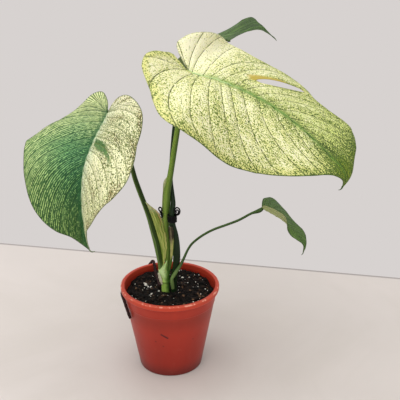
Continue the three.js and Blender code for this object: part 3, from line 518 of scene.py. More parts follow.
def make_piece(name, shape, materials, nodes=(), slot=None, indices=None, weld=0.0):
    """One mesh object riding on the plant, from points in millimetres, faces and facts."""
    points, faces, facts = (*shape, {})[:3]
    mesh = bpy.data.meshes.new(name)
    mesh.from_pydata((np.asarray(points) * MM).tolist(), [], faces)
    for key, values in facts.items():
        layer = mesh.attributes.new(key, "FLOAT_VECTOR", "POINT")
        layer.data.foreach_set("vector", np.ascontiguousarray(values, np.float32).ravel())
    if indices is not None:
        mesh.polygons.foreach_set("material_index", np.asarray(indices, np.int32))
    tidy = bmesh.new()
    tidy.from_mesh(mesh)
    if weld:
        bmesh.ops.remove_doubles(tidy, verts=tidy.verts, dist=weld * MM)
        bmesh.ops.dissolve_degenerate(tidy, edges=tidy.edges, dist=0.001 * MM)
    bmesh.ops.delete(tidy, geom=[v for v in tidy.verts if not v.link_faces], context="VERTS")
    bmesh.ops.recalc_face_normals(tidy, faces=tidy.faces)
    tidy.to_mesh(mesh)
    tidy.free()
    mesh.polygons.foreach_set("use_smooth", [True] * len(mesh.polygons))
    mesh.update()
    piece = placed(name, mesh)
    for material in materials:
        mesh.materials.append(material)
    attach(piece, "root")
    if nodes:
        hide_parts(*nodes)
    return piece


def ring_faces(rings, sides, closed=True):
    """Faces of a tube of rings, with one face across each end when it is closed."""
    faces = []
    for i in range(rings - 1):
        for k in range(sides):
            a, b = i * sides + k, i * sides + (k + 1) % sides
            faces.append((a, b, b + sides, a + sides))
    if closed:
        last = (rings - 1) * sides
        faces.append(tuple(range(sides))[::-1])
        faces.append(tuple(range(last, last + sides)))
    return faces


def section_axes(tangents):
    """Two directions square to each tangent; the first looks towards +Y."""
    away = unit(np.array([0.0, 1.0, 0.0]) - tangents * tangents[:, 1:2])
    return away, np.cross(tangents, away)


def carried_axes(tangents):
    """Two directions square to each tangent that turn as little as they can."""
    away = np.zeros_like(tangents)
    first = np.cross(tangents[0], (0.0, 0.0, 1.0))
    if np.linalg.norm(first) <= 0.1:
        first = np.cross(tangents[0], (0.0, 1.0, 0.0))
    away[0] = unit(first)
    for i in range(1, len(tangents)):
        away[i] = unit(away[i - 1] - tangents[i] * (away[i - 1] @ tangents[i]))
    return away, np.cross(tangents, away)


# How much narrower the first rings of a rounded end are, and how far in from the end they lie
END_SCALES = np.array([0.35, 0.72, 0.93, 1])
END_PLACES = np.array([0, 0.04, 0.12, 0.25])


def tube(centreline, sides=28, step=0.9, shape=None, axes=section_axes):
    """A tube with rounded ends along points whose fourth numbers are radii. shape(angle, run,
    length) scales the radius, for ridges and swellings."""
    curve, radius_at = guide(centreline)
    shares = np.linspace(0, 1, max(6, round(curve.length / step)) + 1)
    lead = END_PLACES * radius_at(np.array([0.0, 1.0])).mean() * 3 / curve.length
    shares = np.concatenate([lead, shares[shares > lead[-1] * 1.2]])
    shares = np.concatenate([shares[shares < 1 - lead[-1] * 1.2], (1 - lead)[::-1]])
    scale = np.ones(len(shares))
    scale[:4], scale[-4:] = END_SCALES, END_SCALES[::-1]
    centres, (away, left) = curve.points(shares), axes(curve.tangents(shares))
    radii = (radius_at(shares) * scale)[:, None]
    angle, run = round_angles(sides)[None], (shares * curve.length)[:, None]
    grow = np.ones((len(shares), sides)) if shape is None else shape(angle, run, curve.length)
    reach, c, s = (radii * grow)[..., None], np.cos(angle), np.sin(angle)
    around = away[:, None] * c[..., None] + left[:, None] * s[..., None]
    points = centres[:, None] + reach * around
    facts = {"stalk_place": triples(radii * c, radii * s, run),
             "stalk_way": triples(shares[:, None], s, points[..., 2])}
    return points.reshape(-1, 3), ring_faces(len(shares), sides), facts


def lathe(profile, sides):
    """A closed turned body from radii and heights, whose first and last points lie on the axis."""
    angle, inner = round_angles(sides), np.array(profile[1:-1], float)
    rings = triples(inner[:, :1] * np.cos(angle), inner[:, :1] * np.sin(angle), inner[:, 1:])
    faces = ring_faces(len(inner), sides, closed=False)
    points = np.vstack([rings, [(0, 0, profile[0][1]), (0, 0, profile[-1][1])]])
    bottom, top, last = len(rings), len(rings) + 1, (len(inner) - 1) * sides
    for k in range(sides):
        faces.append((bottom, (k + 1) % sides, k))
        faces.append((top, last + k, last + (k + 1) % sides))
    return points, faces


class Tap:
    """A node's output that takes part in arithmetic."""

    def __init__(self, paint, socket):
        self.paint, self.socket = paint, socket

    def maths(self, operation, *others):
        return self.paint.node("Math", {"operation": operation}, (self, *others))

    def __add__(self, other):
        return self.maths("ADD", other)

    def __sub__(self, other):
        return self.maths("SUBTRACT", other)

    def __rsub__(self, other):
        return self.paint.node("Math", {"operation": "SUBTRACT"}, (other, self))

    def __mul__(self, other):
        return self.maths("MULTIPLY", other)

    def __truediv__(self, other):
        return self.maths("DIVIDE", other)

    def __neg__(self):
        return self.maths("MULTIPLY", -1.0)

    def __abs__(self):
        return self.maths("ABSOLUTE")

    __radd__ = __add__
    __rmul__ = __mul__


class Paint:
    """A material and the nodes that mix its colour, gloss and relief."""

    def __init__(self, name, kind=bpy.data.materials):
        self.material = kind.new(name)
        self.material.use_nodes = True
        self.tree = self.material.node_tree
        self.tree.nodes.clear()

    def node(self, kind, settings, values=(), out=0):
        """Adds a node, sets it up and gives its sockets values or links."""
        made = self.tree.nodes.new("ShaderNode" + kind)
        for key, value in settings.items():
            setattr(made, key, value)
        pairs = values.items() if isinstance(values, dict) else enumerate(values)
        for key, value in pairs:
            socket = made.inputs[key]
            if isinstance(value, Tap):
                self.tree.links.new(value.socket, socket)
            elif socket.type == "RGBA" and len(value) == 3:
                socket.default_value = (*value, 1.0)
            else:
                socket.default_value = value
        return Tap(self, made.outputs[out]) if made.outputs else None

    def fact(self, name):
        """The three numbers that a piece carries under a name."""
        return split(self.node("Attribute", {"attribute_name": name}, out=1))

    def place(self):
        """Where a point of the piece is, in metres."""
        return self.node("TexCoord", {}, out=3)

    def finish(self, colour, roughness, relief=None, height=0.2, gloss=0.5, body=None):
        """The surface itself. height is the relief's depth in millimetres and body how light
        spreads under the skin."""
        values = {"Base Color": colour, "Roughness": roughness, "Specular IOR Level": gloss}
        values |= body or {}
        if relief is not None:
            values["Normal"] = self.node("Bump", {}, {"Height": relief, "Distance": height * MM,
                                                      "Strength": 1.0})
        surface = self.node("BsdfPrincipled", {}, values)
        self.node("OutputMaterial", {}, {"Surface": surface})
        return self.material


def on(*values):
    """The paint that one of the values comes from."""
    return next(value.paint for value in values if isinstance(value, Tap))


def split(vector):
    node = on(vector).node("SeparateXYZ", {}, (vector,)).socket.node
    return [Tap(vector.paint, output) for output in node.outputs]


def join(*parts):
    return on(*parts).node("CombineXYZ", {}, parts)


def spots(vector, scale, detail=2.0, rough=0.5, warp=0.0):
    return on(vector).node("TexNoise", {}, {"Vector": vector, "Scale": scale, "Detail": detail,
                                            "Roughness": rough, "Distortion": warp})


def cells(vector, scale, feature="F1"):
    return on(vector).node("TexVoronoi", {"feature": feature}, {"Vector": vector, "Scale": scale})


def ease(value, low, high):
    """Rises from nought at low to one at high."""
    return on(value).node("MapRange", {"interpolation_type": "SMOOTHSTEP"},
                          {"Value": value, "From Min": low, "From Max": high})


def fall(value, low, high):
    """Falls from one at low to nought at high."""
    return 1 - ease(value, low, high)


def mix(share, first, second):
    """The first colour, covered by the second one as far as share says."""
    colours = {0: share, 6: first, 7: second}
    return on(share, first, second).node("Mix", {"data_type": "RGBA"}, colours, 2)


def tint(colour, brightness):
    """A colour made lighter or darker by a number."""
    return on(colour).node("VectorMath", {"operation": "SCALE"}, {0: colour, "Scale": brightness})


# How light spreads under the skin of leaves, stalks and sheaths, and their gloss
LEAF_BODY = {"Subsurface Weight": 0.12, "Subsurface Scale": 0.0012,
             "Subsurface Radius": (0.8, 1.0, 0.35)}
STALK_BODY = {"Subsurface Weight": 0.08, "Subsurface Scale": 0.001}
SHEATH_BODY = {"Subsurface Weight": 0.1, "Subsurface Scale": 0.001}
LEAF_GLOSS = SHEATH_GLOSS = 0.3
STALK_GLOSS = 0.24


class LeafFacts:
    """What the paint of a leaf knows at each point; share runs along the midrib."""

    def __init__(self, paint, leaf):
        self.x, self.y, self.under = paint.fact("leaf_place")
        self.rank, self.spacing, self.run = paint.fact("leaf_veins")
        self.edge, self.rib, self.slit = paint.fact("leaf_edges")
        self.share = self.x / LeafSheet(LEAVES[leaf]).length
        self.flat = join(self.x, self.y, self.under * 50)
        self.near_side = ease(self.y, -0.3, 0.3)
        self.lateral = self.rank.maths("PINGPONG", 0.5) * self.spacing
        self.between = (self.rank + 0.5).maths("PINGPONG", 0.5) * self.spacing
        self.grown = join(self.rank * 17, self.run * 0.24, self.near_side * 40)

    def rib_width(self, most, least):
        return ease(1 - self.share, 0.0, 1.0) * most + least

    def finish(self, paint, colour, shine, height, underside, paler=0.5):
        """Gives the leaf its underside and the relief of its small veins."""
        colour = mix(self.under, colour, mix(paler, colour, underside))
        net = ease(cells(self.flat, 0.42, "DISTANCE_TO_EDGE"), 0.0, 0.16)
        relief = net * 0.35 + spots(self.grown, 0.16) * 0.9 + spots(self.flat, 2.6, 1.0) * 0.12
        return paint.finish(colour, shine + self.under * 0.2, relief, height, LEAF_GLOSS, LEAF_BODY)


def vein_lines(at, width):
    """How strongly the lateral veins and the thinner ones between them show."""
    broken = spots(join(at.rank * 3, at.run * 0.12, at.near_side * 9), 1.0, 1.0)
    main = fall(at.lateral, width * 0.45, width)
    thin = fall(at.between, width * 0.3, width * 0.75) * ease(broken, 0.45, 0.6)
    return main * ease(broken, 0.3, 0.48), thin


def mottle(speckle, share, ground, tints):
    """Green flecks over a pale ground: share is how much of the leaf they cover."""
    level = 0.7 - share * 0.4
    pale, green, deep = tints
    colour = mix(ease(speckle, level - 0.07, level), ground, pale)
    colour = mix(ease(speckle, level - 0.01, level + 0.02), colour, green)
    return mix(ease(speckle, level + 0.03, level + 0.075), colour, deep)


def top_leaf_paint(colours):
    paint = Paint("cream marbled leaf")
    at = LeafFacts(paint, "top")
    flecks = spots(at.flat, 0.8, 2.0, 0.6)
    dashes = spots(join(at.rank * 10, at.run * 0.34, at.near_side * 30), 0.9, 2.0, 0.6)
    clouds = spots(at.flat, 0.16, 2.0)
    speckle = flecks * 0.62 + dashes * 0.38
    sectors = spots(join(at.rank * 1.15, at.run * 0.025, at.near_side * 7), 1.0, 2.0)
    by_rib = fall(at.rib, 1.0, 17.0)
    tip = ease(at.share + by_rib * 0.06, 0.7, 1.02)
    lobes = fall(at.share, -0.12, 0.24)
    far_side = 1 - at.near_side
    far_low = far_side * ease(at.share, 0.42, 0.8)
    by_edge = fall(at.edge, 0.5, 10.0)
    cover = (0.42 + (sectors - 0.5) * 0.4 + by_rib * 0.12 * ease(at.share, 0.02, 0.4) + tip * 0.3
             - lobes * 0.07 - lobes * far_side * 0.16 + by_edge * 0.08 + far_low * 0.07)
    yellow = ease(sectors * 0.6 + clouds * 0.6 + by_edge * 0.4 + tip * 0.5, 0.42, 0.95)
    cream = mix(yellow * 0.9, colours.cream, srgb(228, 224, 138))
    fresh = by_rib * 0.5 + ease(at.share, 0.1, 0.5) * (far_side * 0.3 + 0.14)
    cream = mix(fresh * ease(clouds, 0.3, 0.6), cream, srgb(194, 206, 122))
    cream = mix(lobes * far_side * 0.85, cream, srgb(250, 246, 212))
    cream = mix(tip, cream, srgb(186, 198, 72))
    cream = mix(far_low * 0.6, cream, srgb(184, 202, 92))
    tints = (srgb(198, 202, 122), srgb(122, 142, 60), srgb(60, 80, 26))
    colour = mottle(speckle, cover, cream, tints)
    tip_green = mix(ease(flecks, 0.42, 0.58), srgb(164, 182, 58), srgb(80, 118, 26))
    colour = mix(tip * ease(dashes + tip * 0.3, 0.6, 0.75) * 0.7, colour, tip_green)
    main, thin = vein_lines(at, 0.58)
    vein = mix(tip, srgb(80, 90, 38), srgb(58, 88, 30))
    colour = mix(main * 0.92, colour, vein)
    colour = mix(thin * 0.6, colour, vein)
    wide = at.rib_width(1.4, 0.4)
    halo = fall(at.rib / wide + flecks * 2, 1.2, 5.4) * ease(at.share, -0.02, 0.16)
    colour = mix(halo * 0.75, colour, mix(tip, srgb(122, 152, 70), srgb(92, 132, 44)))
    rib_tint = mix(ease(at.share, 0.1, 0.36), srgb(182, 206, 142), srgb(106, 146, 68))
    rib_tint = mix(ease(at.share, 0.4, 0.75), rib_tint, srgb(62, 100, 36))
    colour = mix(fall(at.rib / wide, 0.45, 0.85), colour, rib_tint)
    along, outward = from_slit(at.x, -at.y)
    burnt = fall(outward + flecks * 4, 9.5, 13.0) * ease(outward, 0.0, 1.5)
    burnt = burnt * ease(along, -36.0, -28.0) * fall(along + flecks * 8, 6.0, 18.0)
    colour = mix(burnt * 0.9, colour, mix(flecks, srgb(156, 130, 36), srgb(214, 192, 84)))
    colour = mix(fall(at.slit, 0.2, 0.8) * 0.7, colour, srgb(176, 160, 92))
    rim = fall(at.edge, 0.3, 1.15) * ease(at.slit, 1.0, 3.0)
    colour = mix(rim * (0.35 + at.near_side * ease(at.share, 0.1, 0.3) * 0.6), colour,
                 srgb(64, 88, 32))
    return at.finish(paint, colour, 0.46 + flecks * 0.14, 0.32, srgb(196, 208, 150))


def left_leaf_paint(colours):
    paint = Paint("half green leaf")
    at = LeafFacts(paint, "left")
    broken = spots(join(at.rank * 6, at.run * 0.2, at.near_side * 11), 1.0, 2.0)
    lines = fall((at.rank * 6).maths("PINGPONG", 0.5), 0.08, 0.3)
    dashes = spots(join(at.rank * 9, at.run * 0.26, at.near_side * 30), 1.0, 2.0, 0.6)
    flecks = spots(at.flat, 0.75, 2.0, 0.6)
    to_edge = fall(at.edge, 1.0, 44.0)
    lobe = fall(at.share, -0.1, 0.14)
    low = ease(at.share, 0.34, 0.85)
    high = fall(at.share, 0.08, 0.34)
    by_rib = fall(at.rib, 2.0, 22.0)
    lines = lines * ease(broken + lobe * 0.2, 0.38, 0.5)
    dark = mix(to_edge, srgb(20, 80, 40), srgb(60, 102, 42))
    dark = mix(low * 0.85, dark, srgb(30, 66, 16))
    light = mix(to_edge, srgb(126, 180, 108), srgb(188, 206, 136))
    light = mix(high * 0.5, light, srgb(206, 218, 158))
    light = mix(lobe, light, srgb(216, 224, 162))
    light = mix(low * 0.6, light, srgb(138, 176, 82))
    cover = 0.47 + to_edge * 0.08 + high * 0.07 + lobe * 0.16 - by_rib * 0.13 - low * 0.17
    level = 0.7 - cover * 0.4
    stripe = (at.rank * 6 + 0.25).maths("PINGPONG", 0.5) * 2 - 0.5
    mixed = dashes * 0.6 + flecks * 0.3 + stripe * 0.2 + 0.05
    green_half = mix(ease(mixed, level - 0.02, level + 0.03), dark, light)
    green_half = mix(lines * 0.85, green_half, mix(to_edge, srgb(18, 72, 36), srgb(62, 104, 44)))
    patchy = spots(join(at.rank * 0.9, at.run * 0.03, 2.0), 1.0, 2.0)
    upper = ease(at.share, -0.06, 0.12) * fall(at.share, 0.2, 0.45)
    by_edge = fall(at.edge, 0.5, 12.0)
    cover = (0.42 + (patchy - 0.5) * 0.42 + upper * 0.07 + by_edge * 0.09 - by_rib * 0.1
             - lobe * 0.07)
    ground = mix(by_rib * 0.8, colours.cream, srgb(208, 222, 192))
    ground = mix(low * 0.5, ground, srgb(212, 214, 158))
    ground = mix(lobe * 0.7, ground, srgb(240, 236, 202))
    speckle = flecks * 0.62 + dashes * 0.38
    olive = mix(ease(patchy + by_edge * 0.2, 0.5, 0.75), srgb(104, 122, 56), srgb(136, 108, 62))
    tints = (srgb(204, 206, 150), olive, srgb(52, 72, 28))
    cream_half = mottle(speckle, cover, ground, tints)
    ragged = at.rank + (flecks - 0.5) * 1.8 + (patchy - 0.5) * 1.2
    tail = ease(at.rank, 8.9, 9.3) * 14
    patch = (ease(ragged, 8.3, 8.45) * fall(ragged, 9.35, 9.5) * ease(at.rib, 4.0, 7.0)
             * fall(at.run + (flecks - 0.5) * 40 - tail, 30.0, 35.0))
    green_patch = mix(ease(dashes, 0.42, 0.62), srgb(40, 90, 36), srgb(98, 138, 72))
    cream_half = mix(patch * 0.95, cream_half, green_patch)
    colour = mix(at.near_side, cream_half, green_half)
    main, thin = vein_lines(at, 0.66)
    vein = mix(at.near_side, srgb(104, 116, 58), srgb(24, 66, 26))
    colour = mix(main * 0.75, colour, vein)
    colour = mix(thin * 0.4, colour, vein)
    flank = fall(at.rib, 0.8, 6.0) * at.near_side
    colour = mix(flank * 0.7, colour, srgb(26, 84, 40))
    wide = at.rib_width(1.5, 0.45)
    pale_side = fall(at.y, -0.2, 0.9)
    colour = mix(fall(at.rib / wide, 0.6, 1.0) * pale_side, colour, srgb(196, 220, 172))
    colour = mix(fall(at.edge, 0.25, 1.0) * 0.8, colour, srgb(56, 74, 32))
    return at.finish(paint, colour, 0.44 + flecks * 0.16, 0.34, srgb(168, 186, 128))


def green_leaf_paint(name, leaf, deep, fresh, sheen, rib_tint, underside):
    """A plain green leaf: sheen is the colour of a reflection painted on its far half."""
    paint = Paint(name)
    at = LeafFacts(paint, leaf)
    cloud = spots(at.grown, 0.2, 3.0)
    flecks = spots(at.flat, 0.9, 2.0)
    streak = spots(join(at.rank * 5, at.run * 0.06, 7.0), 1.0, 3.0, 0.6)
    colour = mix(ease(cloud + (0.5 - at.share) * 0.3, 0.35, 0.72), deep, fresh)
    colour = mix(ease(flecks, 0.58, 0.7) * 0.5, colour, fresh)
    # Painted reflection: a pale sheen painted over the far half, broken into streaks
    far = (1 - at.near_side) * fall(at.share, 0.4, 0.65) * fall(at.edge, 4.0, 16.0)
    colour = mix(far * (0.3 + ease(streak, 0.34, 0.6) * 0.6), colour, sheen)
    main, thin = vein_lines(at, 0.7)
    colour = mix(main * 0.45 + thin * 0.2, colour, srgb(96, 128, 66))
    wide = at.rib_width(1.2, 0.4)
    ribbed = fall(at.rib / wide, 0.5, 1.0) * fall(at.share, 0.35, 0.75)
    colour = mix(ribbed * 0.6, colour, rib_tint)
    colour = mix(fall(at.edge, 0.2, 0.9) * 0.5, colour, srgb(36, 58, 24))
    return at.finish(paint, colour, 0.34 + flecks * 0.12, 0.3, underside, 0.7)


def stalk_paint(name, dark, light, lit_from=-0.4, lit_to=0.9, seam=0.0, foot=0.0):
    """A smooth green stalk, with painted light on one side and painted shade on the other, and fine
    lengthwise lines. seam is how strongly the pale edge of its sheath shows, and foot how pale its
    lowest part is."""
    paint = Paint(name)
    cx, cy, run = paint.fact("stalk_place")
    _, leftward, height = paint.fact("stalk_way")
    fibres = spots(join(cx, cy, run * 0.045), 1.5, 3.0, 0.6)
    flecks = spots(join(cx, cy, run * 0.45), 2.2, 2.0)
    cloud = spots(join(cx * 0.2, cy * 0.2, run * 0.05), 1.0, 2.0)
    # Painted light and shade: lighter on the lit side, darker on the side away from the light
    turned = leftward + (cloud - 0.5) * 0.7
    colour = mix(ease(turned, lit_from, lit_to), dark, light)
    colour = tint(colour, 0.72 + fibres * 0.56)
    colour = mix(ease(flecks, 0.62, 0.7) * 0.25, colour, light)
    pale = fall(abs(turned - 0.3), 0.03, 0.14) * fall(height, 146.0, 176.0)
    colour = mix(pale * seam, colour, srgb(150, 174, 112))
    low = fall(height + (fibres - 0.5) * 12, 102.0, 118.0)
    colour = mix(low * foot, colour, mix(fibres, srgb(92, 130, 58), srgb(166, 194, 122)))
    relief = fibres * 0.8 + flecks * 0.2
    return paint.finish(colour, 0.34 + fibres * 0.22, relief, 0.16, STALK_GLOSS, STALK_BODY)


# Sizes and colours that a user would change
COLOUR = {"subtype": "COLOR", "size": 3, "min": 0, "max": 1}


class PotSettings(bpy.types.PropertyGroup):
    sides: IntProperty(name="Sides", description="Faces round the pot", default=192, min=48,
                       max=360)
    wall_colour: FloatVectorProperty(name="Wall", description="Colour of the pot's plastic",
                                     default=srgb(181, 51, 32), **COLOUR)
    lip_radius: FloatProperty(name="Lip radius", description="Outer radius of the rolled lip",
                              default=0.05, min=0.048, max=0.06, unit="LENGTH", precision=4)


class SoilSettings(bpy.types.PropertyGroup):
    mix_colour: FloatVectorProperty(name="Mix", description="Colour of the wet potting mix",
                                    default=srgb(28, 21, 18), **COLOUR)
    chips: IntProperty(name="Chips", description="Bark chips on the surface", default=520, min=0,
                       max=700)
    grains: IntProperty(name="Perlite", description="Small perlite grains on the surface",
                        default=90, min=0, max=200)


class StemSettings(bpy.types.PropertyGroup):
    skin: FloatVectorProperty(name="Skin", description="Lit side of the stem",
                              default=srgb(176, 212, 104), **COLOUR)


class StalkSettings(bpy.types.PropertyGroup):
    sides: IntProperty(name="Sides", description="Faces round each stalk", default=28, min=12,
                       max=64)
    light: FloatVectorProperty(name="Light green", description="Lit side of the centre stalk",
                               default=srgb(130, 160, 64), **COLOUR)
    dark: FloatVectorProperty(name="Dark green", description="The darkest stalk",
                              default=srgb(18, 40, 16), **COLOUR)


class LeafSettings(bpy.types.PropertyGroup):
    cream: FloatVectorProperty(name="Cream", description="Pale ground of the marbled leaves",
                               default=srgb(241, 238, 196), **COLOUR)
    quilt: FloatProperty(name="Quilting", description="Swelling of the blade between its veins",
                         default=0.00055, min=0, max=0.002, unit="LENGTH", precision=5)


class SheathSettings(bpy.types.PropertyGroup):
    straw: FloatVectorProperty(name="Straw", description="Colour of the dried strip's lower part",
                               default=srgb(178, 176, 104), **COLOUR)


class TieSettings(bpy.types.PropertyGroup):
    radius: FloatProperty(name="Wire radius", description="Radius of the coated wire",
                          default=0.0007, min=0.0003, max=0.0012, unit="LENGTH", precision=5)
    coating: FloatVectorProperty(name="Coating", description="Colour of the wire's coating",
                                 default=srgb(5, 5, 8), **COLOUR)


class RootSettings(bpy.types.PropertyGroup):
    bark: FloatVectorProperty(name="Bark", description="Colour of the aerial root",
                              default=srgb(40, 18, 18), **COLOUR)


class StageSettings(bpy.types.PropertyGroup):
    floor_colour: FloatVectorProperty(name="Floor", description="Colour of the floor",
                                      default=srgb(208, 200, 195), **COLOUR)
    wall_colour: FloatVectorProperty(name="Wall", description="Colour behind the floor",
                                     default=srgb(215, 210, 208), **COLOUR)
    key_power: FloatProperty(name="Key light", description="Power of the large soft light",
                             default=14.5, min=0, max=200, unit="POWER")
    sky: FloatProperty(name="Sky", description="Strength of the soft light all round",
                       default=0.675, min=0, max=3)


def settings(context, name):
    return getattr(context.scene, "monstera_" + name)


# Driving dimensions of the pot, the same as the solid's, and how far its corners are rounded off
POT_HEIGHT = 90
MOUTH_RADIUS = 46
LIP_BOTTOM = 84.8
LIP_ROUND = 0.9
SHOULDER_RADIUS = 47.2
STEP_RADIUS = 45.4
STEP_HEIGHT = 73
RING_TOP = 1.4
STEP_RISE = 0.5
FOOT_RADIUS = 32.4
FOOT_EDGE = 2
FOOT_RING_WIDTH = 4
PAD_RADIUS = 9
BASE_RECESS = 1.4
POT_WALL = 1.6
FLOOR_TOP = 3.2
DRAINS = {"count": 6, "radius": 3.5, "circle": 19}
CORNER_ROUND = 0.45


def rounded(profile, radius, steps=4):
    """A profile rounded off at the corners between its ends, with a point on both sides of each."""
    out = [profile[0]]
    for before, here, after in zip(profile, profile[1:], profile[2:]):
        a, b, c = np.array(before, float), np.array(here, float), np.array(after, float)
        cut = min(radius, 0.3 * np.linalg.norm(a - b), 0.3 * np.linalg.norm(c - b))
        start, end = b + unit(a - b) * cut, b + unit(c - b) * cut
        out.append(tuple(b + unit(a - b) * cut * 1.5))
        for k in range(steps + 1):
            t = k / steps
            out.append(tuple((1 - t) ** 2 * start + 2 * t * (1 - t) * b + t * t * end))
        out.append(tuple(b + unit(c - b) * cut * 1.5))
    return out + [profile[-1]]


def body_radius(z):
    """Outer radius of the pot's tapered body."""
    share = (z - FOOT_EDGE) / (STEP_HEIGHT - FOOT_EDGE)
    return FOOT_RADIUS + share * (STEP_RADIUS - FOOT_RADIUS)


def inner_radius(z):
    """Inner radius of the pot up to under its lip."""
    if z <= STEP_HEIGHT:
        return body_radius(z) - POT_WALL
    waist, neck = STEP_RADIUS - POT_WALL, MOUTH_RADIUS - 0.4
    return waist + (z - STEP_HEIGHT) / (LIP_BOTTOM - 2 - STEP_HEIGHT) * (neck - waist)


def pot_profile(lip):
    ring = FOOT_RADIUS - FOOT_RING_WIDTH
    bulge = STEP_RADIUS + STEP_RISE
    return [(0, 0), (PAD_RADIUS, 0), (PAD_RADIUS + 0.8, BASE_RECESS),
            (ring - 0.8, BASE_RECESS), (ring, 0),
            (FOOT_RADIUS - 1.4, 0), (FOOT_RADIUS - 0.4, 0.5), (FOOT_RADIUS, FOOT_EDGE),
            (STEP_RADIUS, STEP_HEIGHT), (bulge, STEP_HEIGHT + RING_TOP - 0.8),
            (bulge, STEP_HEIGHT + RING_TOP), (SHOULDER_RADIUS, LIP_BOTTOM),
            (lip - 0.7, LIP_BOTTOM - 0.2), (lip, LIP_BOTTOM + 0.7),
            (lip, POT_HEIGHT - LIP_ROUND), (lip - LIP_ROUND, POT_HEIGHT),
            (MOUTH_RADIUS + 0.6, POT_HEIGHT), (MOUTH_RADIUS, POT_HEIGHT - 0.7),
            (MOUTH_RADIUS - 0.4, LIP_BOTTOM - 2), (inner_radius(STEP_HEIGHT), STEP_HEIGHT),
            (inner_radius(FLOOR_TOP + 2), FLOOR_TOP + 2), (inner_radius(FLOOR_TOP) - 2, FLOOR_TOP),
            (0, FLOOR_TOP)]


def pot_paint(colour):
    paint = Paint("terracotta plastic")
    place = paint.place()
    x, y, z = split(place)
    radius = (x * x + y * y).maths("SQRT")
    cloud = spots(place, 22.0, 3.0)
    grime = spots(place, 95.0, 4.0, 0.65)
    flow = spots(join(x * 30, y * 30, z * 3), 1.0, 3.0, 0.55)
    streaks = spots(join(x * 150, y * 150, z * 6), 1.0, 2.0)
    fine = spots(place, 1500.0, 2.0)
    # Painted shade: the one plastic colour is graded darker towards the bottom of the pot
    base = mix(ease(z, 0.0, 0.088), srgb(150, 36, 21), colour)
    base = tint(base, 0.68 + flow * 0.34 + cloud * 0.16 + streaks * 0.12)
    # Painted shade: darker still near the floor at the pot's foot
    base = mix(fall(z + flow * 0.006, 0.003, 0.02), base, srgb(112, 30, 22))
    # Painted light: the lip band is painted lighter than the body of the same plastic
    lip = ease(z, 0.0845, 0.0855)
    base = mix(lip * 0.6, base, srgb(206, 72, 46))
    # Painted shade: a slightly darker band on the shoulder under the lip
    shade_under_lip = ease(z, 0.071, 0.075) * (1 - lip)
    base = mix(shade_under_lip * 0.12, base, srgb(120, 34, 24))
    dust = ease(grime, 0.58, 0.78) * (0.2 + ease(z, 0.06, 0.0) * 0.3)
    base = mix(dust * 0.3, base, srgb(190, 130, 108))
    # Painted shade: the inner wall is darkened inside the pot's mouth
    inside = fall(radius, 0.0445, 0.0465) * ease(z, 0.05, 0.07)
    base = mix(inside * 0.4, base, srgb(92, 26, 16))
    # Painted highlight: a broken bright line round the upper rounding of the lip, with a paler glow
    # along it
    highlight_breaks = spots(join(x * 190, y * 190, 0.0), 1.0, 2.0, 0.6)
    lip_highlight = fall(abs(z - 0.0894), 0.0003, 0.0008) * ease(radius, 0.0484, 0.0488)
    base = mix(lip_highlight * ease(highlight_breaks, 0.5, 0.62) * 0.85, base, srgb(250, 186, 164))
    base = mix(lip_highlight * 0.25, base, srgb(240, 120, 92))
    specks = ease(cells(place, 330.0), 0.1, 0.06) * ease(cloud, 0.5, 0.62)
    base = mix(specks * 0.6, base, srgb(70, 34, 26))
    across = (x + 0.0047) * 0.55 + (z - 0.0525) * 0.84
    along = (x + 0.0047) * 0.84 - (z - 0.0525) * 0.55
    front = ease(y, -0.03, -0.034)
    scratch = fall(abs(across) + grime * 0.0006, 0.0008, 0.0016) * front
    scratch = scratch * fall(abs(along) + fine * 0.002, 0.005, 0.006)
    for dot_x, dot_z in ((-0.0135, 0.0445), (0.0235, 0.0445), (-0.006, 0.0395)):
        off = ((x - dot_x) * (x - dot_x) + (z - dot_z) * (z - dot_z)).maths("SQRT")
        scratch = scratch + fall(off, 0.0005, 0.0013) * front * 0.6
    base = mix(scratch * 0.85, base, srgb(58, 16, 20))
    shine = 0.3 + grime * 0.2 + dust * 0.3
    relief = fine * 0.2 + flow * 0.9 + grime * 0.3 + streaks * 0.2
    return paint.finish(base, shine, relief, 0.14, 0.32)


def drill(piece, holes, radius, depth, sides=40):
    """Cuts upright round holes through a piece, at places in millimetres."""
    block = bmesh.new()
    for x, y in holes:
        made = bmesh.ops.create_cone(block, cap_ends=True, segments=sides, radius1=radius * MM,
                                     radius2=radius * MM, depth=depth * MM)
        bmesh.ops.translate(block, verts=made["verts"], vec=(x * MM, y * MM, 0))
    mesh = bpy.data.meshes.new("drill")
    block.to_mesh(mesh)
    block.free()
    cutter = placed("drill", mesh)
    cut = piece.modifiers.new("drill", "BOOLEAN")
    cut.object, cut.operation, cut.solver = cutter, "DIFFERENCE", "EXACT"
    seen = bpy.context.evaluated_depsgraph_get()
    drilled = bpy.data.meshes.new_from_object(piece.evaluated_get(seen))
    piece.modifiers.clear()
    piece.data = drilled
    bpy.data.objects.remove(cutter)


# The soil's edge, mound and lumps, the same as the solid's, a bank at the back that the solid
# doesn't have, and the gap to the pot's wall
SOIL_EDGE = 79.5
SOIL_MOUND = 3.2
SOIL_BANK = 3.6
SOIL_LUMP = 0.9
SOIL_CLEARANCE = 0.5

# The finer lumps and crumbs, how closely the surface is divided, how far out loose pieces lie and
# how far from the stem, and the pieces that can be made out
SOIL_COARSE = 1.2
SOIL_CRUMB = 1.15
SOIL_RINGS = 58
SOIL_SECTORS = 240
SOIL_REACH = 42.5
STEM_GAP = 9
SEEN_PERLITE = [(-25.1, 9.7, 2.2), (-19.6, 3.3, 1.3), (-22.3, -3.1, 1.0), (-11.2, -3.1, 1.1),
                (-18.1, -7.3, 1.4), (-11.6, -15.6, 1.2), (12.2, 25.2, 1.5), (26.8, 40.5, 1.2)]
SEEN_BARK = [(12.5, 8.7, 3.4), (26.9, 2.2, 3.2), (20, -9, 2.6), (-29, -12, 2.4), (4, -24, 2.8),
             (30, -14, 2.3), (-6, -31, 2.4)]


